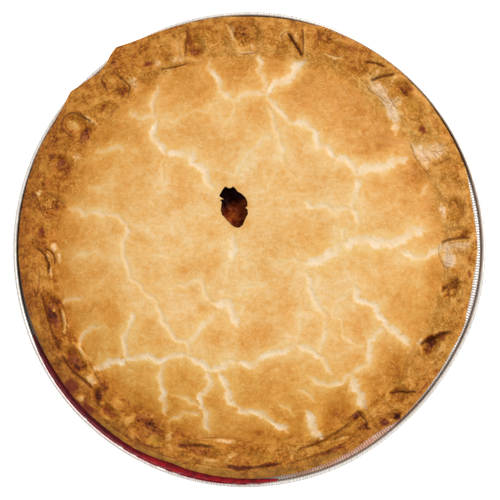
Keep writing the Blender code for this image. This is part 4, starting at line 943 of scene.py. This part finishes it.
def crustMaterial():
    sheet = MaterialSheet("bakedPastry")
    patch = sheet.noise(15.0, detail=3.0)
    mottle = sheet.noise(5.0, detail=4.0, shift=0.3)
    fine = sheet.noise(0.8, detail=3.0, roughness=0.65)
    fibre = sheet.noise(1.6, detail=3.0, stretch=(0.35, 1.0, 1.0), turn=-4.0)
    jag = sheet.noise(1.3, detail=4.0, roughness=0.65, shift=0.6)
    wrinkle = sheet.noise(2.2, detail=4.0, roughness=0.6, shift=0.9)
    speckle = sheet.noise(0.7, detail=2.0, roughness=0.6, shift=0.5)
    hue = sheet.noise(9.0, detail=4.0, roughness=0.6, shift=0.45)
    blush = sheet.noise(3.2, detail=4.0, roughness=0.65, shift=0.35)
    flake = sheet.noise(2.6, detail=5.0, roughness=0.7, shift=0.15)
    vein = sheet.noise(13.0, detail=5.0, roughness=0.6, shift=0.75)
    layers = sheet.noise(2.8, detail=3.0, place=sheet.place("ringPlace"))
    rimShare = sheet.mask("rimShare")

    def edged(name, low, high, rough=0.5):  # a mask with a ragged edge
        return sheet.remap(sheet.total(sheet.mask(name), sheet.around(jag, rough / 2)), low, high)

    thread = sheet.times(sheet.nearNought(sheet.around(wrinkle, 1.0), 0.0, 0.1), sheet.remap(mottle, 0.35, 0.6))
    nick = sheet.times(sheet.nearNought(sheet.around(jag, 1.0), 0.0, 0.12), sheet.remap(flake, 0.42, 0.6))
    specks = sheet.remap(speckle, 0.57, 0.66)
    lidSwing = sheet.total(
        sheet.around(patch, 0.16), sheet.around(mottle, 0.1), sheet.around(fine, 0.15),
        sheet.around(fibre, 0.07), sheet.times(sheet.mask("plate"), 0.08),
        sheet.around(sheet.remap(flake, 0.42, 0.58), 0.03),
    )
    rimSwing = sheet.total(
        sheet.around(patch, 0.12), sheet.around(mottle, 0.16), sheet.around(layers, 0.16),
        sheet.around(jag, 0.09), sheet.around(fine, 0.15), sheet.times(thread, 0.1), sheet.times(nick, 0.07),
        sheet.times(specks, sheet.remap(flake, 0.4, 0.6), 0.05), -0.012,
    )
    # This number is the bake with painted shade and light in it too: shade in the dents' hollows, in the valley
    # and on the lid's shaded tones, light on the lid's lit tones and on the flaps' edges
    bakedAndShaded = sheet.total(
        sheet.mask("bakeAndShade"), lidSwing,
        sheet.times(rimShare, sheet.maths("SUBTRACT", rimSwing, lidSwing)),
        # Deep and light tones: the pastry's own, with painted shade at the lid's bottom edge and painted light
        # on its right side
        sheet.times(sheet.mask("deepAndShadedTone"), 0.15), sheet.times(sheet.mask("paleAndLitTone"), -0.08),
        # painted shade in the dents' hollows
        sheet.times(sheet.mask("hollowShade"), 0.06),
        sheet.times(sheet.mask("speckMark"), specks, 0.19),
        sheet.times(sheet.mask("speckMark"), thread, 0.16),
        # Browned places, with painted shade along the valley and beside folds
        sheet.times(edged("brownAndShadeMark", 0.1, 0.9), 0.16), sheet.times(edged("brownAndShadeMark", 0.55, 1.1), 0.16),
    )

    near = sheet.total(sheet.mask("crackNear"), sheet.around(jag, 0.34), sheet.around(fine, 0.18))
    crackForce = sheet.mask("crackForce")
    flour = sheet.total(0.09, sheet.around(jag, 0.14), sheet.around(fine, 0.1), sheet.times(thread, 0.16),
                        sheet.times(specks, 0.12))
    floured = edged("paleMark", 0.1, 1.0, 1.1)
    bakedAndShaded = sheet.toward(bakedAndShaded, flour, sheet.times(floured, 0.8))
    hair = sheet.times(sheet.nearNought(sheet.around(vein, 1.0), 0.0, 0.035), sheet.remap(mottle, 0.42, 0.62),
                       sheet.maths("SUBTRACT", 1.0, rimShare))
    bakedAndShaded = sheet.toward(bakedAndShaded, 0.14, sheet.times(hair, 0.45))
    halo = sheet.times(sheet.remap(near, 0.0, 0.75), crackForce)
    bakedAndShaded = sheet.toward(bakedAndShaded, 0.25, sheet.times(halo, 0.4))
    bakedAndShaded = sheet.toward(bakedAndShaded, 0.19, sheet.times(sheet.remap(near, 0.5, 0.85), crackForce, 0.4))
    # Painted highlight: the pastry is paler along the raised edges of the flaps
    ridgeHighlight = sheet.nearNought(sheet.mask("ridgeHighlightOffset"), 0.2, 1.6)
    bakedAndShaded = sheet.toward(bakedAndShaded, 0.24, sheet.times(ridgeHighlight, sheet.mask("ridgeHighlightForce"), 0.65))

    colour = sheet.ramp(bakedAndShaded, [(at, pastry(*parts)) for at, parts in bakeAndShade["ramp"]])
    warmth = sheet.total(sheet.times(hue, 0.6), sheet.times(blush, 0.4))
    colour = sheet.mix(sheet.remap(warmth, 0.42, 0.58), sheet.tint(1.0, colour, 1.0, 0.93, 0.79),
                       sheet.tint(1.0, colour, 1.0, 1.04, 1.13))
    colour = sheet.tint(sheet.times(halo, 0.8), colour, 1.0, 1.0, 0.84)
    colour = sheet.tint(floured, colour, 1.05, 1.0, 1.2)
    colour = sheet.tint(sheet.times(sheet.mask("yellowTone"), 0.8), colour, 0.98, 0.98, 0.76)
    # Amber tint: partly the pastry's own, in the valley a painted shade
    colour = sheet.tint(sheet.times(edged("amberAndShadeMark", 0.0, 0.9, 0.4), 0.5), colour, 1.0, 0.92, 0.5)
    for name, low, high, rough, share, stain in (
        ("oliveMark", 0.1, 0.8, 0.4, 0.6, (168, 120, 50)), ("yellowMark", 0.1, 0.9, 0.5, 0.55, (206, 154, 56)),
        ("juiceMark", 0.05, 0.85, 0.5, 0.6, (164, 84, 42)), ("juiceMark", 0.5, 1.15, 0.5, 0.75, (118, 36, 26)),
    ):
        colour = sheet.mix(sheet.times(edged(name, low, high, rough), share), colour, pastry(*stain))
    core = sheet.times(sheet.remap(near, 0.66, 0.84), crackForce, sheet.remap(crackForce, 0.3, 0.9, 0.35, 0.85))
    wideOpen = sheet.remap(sheet.total(crackForce, sheet.around(jag, 0.3)), 0.5, 1.1)
    colour = sheet.mix(core, colour, sheet.mix(wideOpen, pastry(236, 203, 156), pastry(249, 227, 196)))
    # Creases are darkened: a painted shade in each fold, with browned juice in it
    creaseBrownAndShade = sheet.nearNought(sheet.mask("creaseBrownAndShadeOffset"), 0.2, 1.25)
    colour = sheet.mix(sheet.times(creaseBrownAndShade, sheet.mask("creaseBrownAndShadeForce"), 0.85), colour, pastry(104, 52, 18))
    # Juice on the vent's walls, then deeper a painted shade
    colour = sheet.mix(sheet.remap(sheet.mask("ventJuiceAndShade"), 0.0, 0.4), colour, tone(110, 48, 24))
    colour = sheet.mix(sheet.remap(sheet.mask("ventJuiceAndShade"), 0.25, 1.0), colour, tone(46, 6, 3))
    sheet.plug(sheet.shader.inputs["Base Color"], colour)
    sheet.plug(sheet.shader.inputs["Roughness"], sheet.remap(mottle, 0.3, 0.7, 0.45, 0.65))
    sheet.shader.inputs["Specular IOR Level"].default_value = 0.25

    relief = sheet.total(fine, sheet.times(fibre, 0.8))
    normal = sheet.bump(relief, 0.4, 0.4)
    normal = sheet.bump(jag, 0.35, 0.4, normal)
    normal = sheet.bump(sheet.times(sheet.remap(near, 0.6, 0.95), crackForce, -1.0), 0.3, 0.7, normal)
    rough = sheet.times(rimShare, sheet.total(sheet.times(thread, -0.5), layers, wrinkle))
    sheet.plug(sheet.shader.inputs["Normal"], sheet.bump(rough, 0.7, 1.0, normal))
    return sheet.material


pie.data.materials.clear()
pie.data.materials.append(crustMaterial())
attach(pie, "root")
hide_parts("pie_crust")
print("crust done")


# Foil tin: a turned profile with fine ribs

tin = {
    "ribs": 540, "columnsPerRib": 3, "foil": 0.2, "beadRadius": 0.85,
    "beadHeight": 27.85, "wallRib": 0.24, "flangeRib": 0.11, "beadSteps": 9,
    "profile": [
        (78.0, 0.85), (79.3, 0.72), (80.6, 0.4), (82.0, 0.36), (86.5, 0.36), (88.0, 0.4), (89.0, 0.8),
        (89.7, 1.6), (90.4, 2.6), (98.8, 14.3), (106.6, 25.0), (107.3, 25.9), (108.0, 26.55),
        (109.0, 26.85), (111.7, 26.5), (112.5, 26.4), (112.95, 26.75), (113.1, 27.4),
    ],
    # From where to where along the profile each part fades in and out
    "wallIn": (88.2, 90.6), "wallOut": (107.2, 108.0), "flangeIn": (107.4, 108.6), "flangeOut": (112.7, 113.1),
    "outsideIn": (107.4, 108.4), "shadeOut": (112.9, 113.4), "turnUpIn": (111.8, 112.4),
    "turnUpOut": (112.98, 113.08), "stainedOut": (113.5, 114.1), "crustReflectionOut": (112.4, 113.0),
    # Angle, and how far to both sides the colour is full and gone
    # The second is a painted reflection of the crust's brown in the foil
    "stained": (239.0, 30.0, 40.0), "crustReflection": (299.0, 15.0, 24.0),
    "grooveSharpness": 1.3, "wallGroove": 0.8, "turnUpShade": 0.75, "unevenLength": 7.0,
    "shadeByAngle": [(14, 0.0), (24, 1.0), (200, 1.0), (210, 0.3), (280, 0.3), (290, 0.0)],
}


def tinRings():
    rings = list(tin["profile"])
    middle = tinRadius - tin["beadRadius"] - tin["foil"]
    for step in range(tin["beadSteps"] + 1):
        turn = math.radians(180.0 - 250.0 * step / tin["beadSteps"])
        rings.append((
            middle + tin["beadRadius"] * math.cos(turn),
            tin["beadHeight"] + tin["beadRadius"] * math.sin(turn),
        ))
    return rings


print("building the tin")
rings = tinRings()
bpy.ops.mesh.primitive_circle_add(
    vertices=tin["ribs"] * tin["columnsPerRib"], radius=rings[0][0], location=(0.0, 0.0, rings[0][1]),
    fill_type="TRIFAN",
)
foilTin = bpy.context.object
foilTin.name = foilTin.data.name = "foilTin"
bpy.ops.object.transform_apply(location=True)
bpy.ops.object.mode_set(mode="EDIT")
bpy.ops.mesh.select_mode(type="EDGE")
bpy.ops.mesh.select_all(action="DESELECT")
bpy.ops.mesh.select_non_manifold()
for inner, outer in zip(rings, rings[1:]):
    bpy.ops.mesh.extrude_edges_move(TRANSFORM_OT_translate={"value": (0.0, 0.0, outer[1] - inner[1])})
    growth = outer[0] / inner[0]
    bpy.ops.transform.resize(value=(growth, growth, 1.0), center_override=(0.0, 0.0, 0.0))
bpy.ops.mesh.select_all(action="SELECT")
bpy.ops.mesh.normals_make_consistent(inside=True)
bpy.ops.object.mode_set(mode="OBJECT")

tinPoints = pointsOf(foilTin)
tinReach = np.hypot(tinPoints[:, 0], tinPoints[:, 1])
tinDegrees = degreesOf(tinPoints[:, 0], tinPoints[:, 1])
wave = np.cos(tin["ribs"] * np.radians(tinDegrees))
onWall = smoothStep(*tin["wallIn"], tinReach) * fadeOut(*tin["wallOut"], tinReach)
onFlange = smoothStep(*tin["flangeIn"], tinReach) * fadeOut(*tin["flangeOut"], tinReach)
uneven = 1.0 + 0.5 * lumps(tinPoints[:, 0], tinPoints[:, 1], tin["unevenLength"], 90.0)
tinPoints[:, :2] *= (1.0 + onWall * tin["wallRib"] * uneven * wave / np.maximum(tinReach, 1.0))[:, None]
tinPoints[:, 2] += onFlange * tin["flangeRib"] * uneven * wave
tinPoints[:, :2] *= tinStretch(tinDegrees)[:, None]
setPoints(foilTin, tinPoints)
outside = smoothStep(*tin["outsideIn"], tinReach)
# The outer wall gets a greyer foil than the rim: a painted shade for its dull reflections
setMask(foilTin, "wall", 1.0 - outside)
# Painted shade: the foil is darkened in the grooves between its ribs, for the dark reflections there
grooves = (0.5 - 0.5 * wave) ** tin["grooveSharpness"]
setMask(foilTin, "groove", (onFlange + tin["wallGroove"] * onWall) * grooves)
shade = np.interp(tinDegrees, *zip(*tin["shadeByAngle"]), period=360.0) * outside
turnUp = smoothStep(*tin["turnUpIn"], tinReach) * fadeOut(*tin["turnUpOut"], tinReach)
setMask(foilTin, "shaded", np.maximum(fadeOut(*tin["shadeOut"], tinReach) * shade, tin["turnUpShade"] * turnUp))
for name in ("stained", "crustReflection"):
    angle, full, gone = tin[name]
    fade = fadeOut(*tin[name + "Out"], tinReach)
    setMask(foilTin, name, outside * fadeOut(full, gone, awayFrom(tinDegrees, angle)) * fade)
applyModifier(foilTin, "SOLIDIFY", thickness=tin["foil"], offset=-1.0)
toMetres(foilTin, 60.0)


def foilMaterial():
    sheet = MaterialSheet("rolledFoil")
    crinkle = sheet.noise(5.0, detail=3.0)
    scratch = sheet.noise(0.7, detail=2.0, stretch=(1.0, 0.12, 1.0), turn=20.0)
    smudge = sheet.noise(18.0, detail=2.0)
    colour = sheet.mix(sheet.remap(smudge, 0.35, 0.7), tone(230, 225, 218), tone(218, 212, 204))
    # Painted shade: the outer wall is a darker grey foil than the rim
    wall = sheet.mix(sheet.remap(crinkle, 0.3, 0.7), tone(176, 176, 178), tone(198, 198, 198))
    colour = sheet.mix(sheet.mask("wall"), colour, wall)
    # Painted reflection: the crust's brown seen in the foil at the lower right, also in its grooves
    crustReflection = sheet.mask("crustReflection")
    reflectedCrustColour = sheet.mix(sheet.remap(crinkle, 0.3, 0.6), tone(244, 206, 180), tone(226, 168, 136))
    colour = sheet.mix(crustReflection, colour, reflectedCrustColour)
    # Painted shade and reflection in the rib grooves
    groove = sheet.mix(crustReflection, tone(112, 100, 90), tone(92, 44, 24))
    colour = sheet.mix(sheet.times(sheet.mask("groove"), 0.9), colour, groove)
    stain = sheet.times(sheet.mask("stained"), sheet.remap(crinkle, 0.2, 0.5))
    colour = sheet.mix(stain, colour, tone(120, 8, 30))
    colour = sheet.mix(sheet.times(sheet.mask("shaded"), 0.85), colour, tone(78, 64, 50))
    sheet.plug(sheet.shader.inputs["Base Color"], colour)
    sheet.shader.inputs["Metallic"].default_value = 0.5
    sheet.plug(sheet.shader.inputs["Roughness"], sheet.remap(scratch, 0.3, 0.7, 0.2, 0.36))
    sheet.plug(sheet.shader.inputs["Normal"], sheet.bump(crinkle, 0.25, 0.5))
    return sheet.material


foilTin.data.materials.append(foilMaterial())
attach(foilTin, "root")
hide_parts("foil_tin")
print("tin done")


# Filling at the bottom of the vent: wet fruit in syrup

filling = {"level": 27.6, "lump": 1.5, "lumpLength": 4.2, "floor": 26.1, "inset": 0.35, "cuts": (10, 3),
           "litSlant": 0.6, "litFrom": (3.0, -4.0)}


def flatLevel(height):
    def place(points):
        placed = points.copy()
        placed[:, 2] = height
        return placed
    return place


print("building the filling")
fruit = latticeDisc("fruitFilling", filling["cuts"])
outlinePoints = np.array([fromPhoto(pixel) for pixel in vent["outline"]]) - ventMiddle
outlineTurn = degreesOf(outlinePoints[:, 0], outlinePoints[:, 1])
outlineReach = np.hypot(outlinePoints[:, 0], outlinePoints[:, 1])
order = np.argsort(outlineTurn)
fruitPoints = pointsOf(fruit)
fruitTurn = degreesOf(fruitPoints[:, 0], fruitPoints[:, 1])
reach = np.interp(fruitTurn, outlineTurn[order], outlineReach[order], period=360.0) - filling["inset"]
fruitPoints[:, :2] *= reach[:, None]
fruitPoints[:, :2] += ventMiddle
fruitLumps = np.abs(lumps(fruitPoints[:, 0], fruitPoints[:, 1], filling["lumpLength"], 70.0))
fruitPoints[:, 2] = filling["level"] + filling["lump"] * fruitLumps
setPoints(fruit, fruitPoints)
fruitAlong = (fruitPoints[:, 1] - ventMiddle[1]) - filling["litSlant"] * (fruitPoints[:, 0] - ventMiddle[0])
setMask(fruit, "lit", smoothStep(*filling["litFrom"], fruitAlong))
addSkirt(fruit, [flatLevel(filling["floor"])])
toMetres(fruit, 60.0)


def fruitMaterial():
    sheet = MaterialSheet("wetFruit")
    pulp = sheet.noise(2.4, detail=4.0)
    lit = sheet.mix(sheet.remap(pulp, 0.35, 0.65), tone(102, 24, 6), tone(160, 76, 24))
    colour = sheet.mix(sheet.mask("lit"), tone(34, 3, 2), lit)
    sheet.plug(sheet.shader.inputs["Base Color"], colour)
    sheet.shader.inputs["Roughness"].default_value = 0.4
    sheet.shader.inputs["Specular IOR Level"].default_value = 0.05
    sheet.plug(sheet.shader.inputs["Normal"], sheet.bump(pulp, 0.4, 0.8))
    return sheet.material


fruit.data.materials.append(fruitMaterial())
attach(fruit, "root")
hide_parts("fruit_filling")
print("filling done")


# Leaked juice on the flange

juice = {
    "start": 201.5, "end": 277.0, "bottom": 27.0, "depth": 0.75, "outer": 113.0, "endWidth": 0.5,
    "steps": 260, "rows": 12, "brightFrom": (228.0, 250.0), "ripple": 0.14, "meniscus": 0.25,
}

print("building the juice")
bpy.ops.mesh.primitive_grid_add(x_subdivisions=juice["steps"], y_subdivisions=juice["rows"], size=2.0)
pool = bpy.context.object
pool.name = pool.data.name = "leakedJuice"
poolPoints = pointsOf(pool)
along, across = (poolPoints[:, 0] + 1) / 2, (poolPoints[:, 1] + 1) / 2
poolDegrees = juice["start"] + (juice["end"] - juice["start"]) * along
outer = juice["outer"] * tinStretch(poolDegrees)
full = np.maximum(outer - edgeRadius(poolDegrees) + 0.1, juice["endWidth"])
taper = np.sin(math.pi * np.clip(along, 0.004, 0.996)) ** 0.3
poolRadius = outer - (juice["endWidth"] + (full - juice["endWidth"]) * taper) * (1.0 - across)
poolPoints[:, 0] = poolRadius * np.cos(np.radians(poolDegrees))
poolPoints[:, 1] = poolRadius * np.sin(np.radians(poolDegrees))
ripple = juice["ripple"] * lumps(poolPoints[:, 0], poolPoints[:, 1], 3.6, 80.0)
meniscus = juice["meniscus"] * (2.0 * across - 1.0) ** 4
poolPoints[:, 2] = juice["bottom"] + juice["depth"] * taper + ripple + meniscus
setPoints(pool, poolPoints)
shaken = poolDegrees + 3.0 * lumps(poolPoints[:, 0], poolPoints[:, 1], 5.0, 85.0)
setMask(pool, "bright", smoothStep(*juice["brightFrom"], shaken))
addSkirt(pool, [flatLevel(juice["bottom"] - 0.2)])
toMetres(pool, 60.0)


def juiceMaterial():
    sheet = MaterialSheet("fruitSyrup")
    cloud = sheet.noise(4.0, detail=3.0)
    grain = sheet.noise(0.8, detail=2.0)
    dark = sheet.mix(sheet.remap(cloud, 0.35, 0.65), tone(84, 0, 14), tone(116, 4, 26))
    bright = sheet.mix(sheet.remap(cloud, 0.35, 0.65), tone(112, 0, 12), tone(164, 10, 24))
    colour = sheet.mix(sheet.mask("bright"), dark, bright)
    sheet.plug(sheet.shader.inputs["Base Color"], colour)
    sheet.shader.inputs["Roughness"].default_value = 0.3
    sheet.shader.inputs["Specular IOR Level"].default_value = 0.15
    normal = sheet.bump(cloud, 0.25, 0.5)
    sheet.plug(sheet.shader.inputs["Normal"], sheet.bump(grain, 0.25, 0.3, normal))
    return sheet.material


pool.data.materials.append(juiceMaterial())
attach(pool, "root")
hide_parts("leaked_juice")
print("juice done")


# Floor, light and camera

stage = {
    "floorSize": 6.0, "floorGlow": 0.62, "cameraHeight": 1.6, "rimHeight": 0.030, "sensor": 36.0,
    "keyStrength": 2.3, "keyAngle": 26.0, "keyFrom": (0.5, 0.42, 1.0), "skyStrength": (0.12, 0.84),
}

bpy.ops.mesh.primitive_plane_add(size=stage["floorSize"])
floor = bpy.context.object
floor.name = "floor"
floorSheet = MaterialSheet("palePaper")
paper = floorSheet.noise(60.0, detail=2.0)
floorSheet.plug(floorSheet.shader.inputs["Base Color"],
                floorSheet.mix(floorSheet.remap(paper, 0.3, 0.7), tone(250, 250, 250), tone(246, 246, 246)))
floorSheet.shader.inputs["Roughness"].default_value = 0.9
floorSheet.shader.inputs["Emission Color"].default_value = (1.0, 1.0, 1.0, 1.0)
floorSheet.shader.inputs["Emission Strength"].default_value = stage["floorGlow"]
floor.data.materials.append(floorSheet.material)

sky = bpy.data.worlds.new("softStudio")
bpy.context.scene.world = sky
sky.use_nodes = True
skyNodes = sky.node_tree.nodes
skyNodes["Background"].inputs["Color"].default_value = (1.0, 1.0, 1.0, 1.0)
height = skyNodes.new("ShaderNodeSeparateXYZ")
sky.node_tree.links.new(skyNodes.new("ShaderNodeTexCoord").outputs["Generated"], height.inputs[0])
glow = skyNodes.new("ShaderNodeMapRange")
glow.inputs["To Min"].default_value, glow.inputs["To Max"].default_value = stage["skyStrength"]
sky.node_tree.links.new(height.outputs["Z"], glow.inputs["Value"])
sky.node_tree.links.new(glow.outputs[0], skyNodes["Background"].inputs["Strength"])

bpy.ops.object.light_add(type="SUN")
key = bpy.context.object
key.data.energy = stage["keyStrength"]
key.data.angle = math.radians(stage["keyAngle"])
key.rotation_euler = Vector(stage["keyFrom"]).to_track_quat("Z", "Y").to_euler()

pixelOff = photo["size"] / 2 - photo["centre"][0]
aside = pixelOff * mmPerPixel * mm
bpy.ops.object.camera_add(location=(aside, -aside, stage["cameraHeight"]))
camera = bpy.context.object
camera.data.sensor_width = stage["sensor"]
viewWidth = photo["size"] * mmPerPixel * mm
camera.data.lens = stage["sensor"] * (stage["cameraHeight"] - stage["rimHeight"]) / viewWidth
bpy.context.scene.camera = camera
bpy.context.scene.view_settings.view_transform = "Standard"
print("stage done")
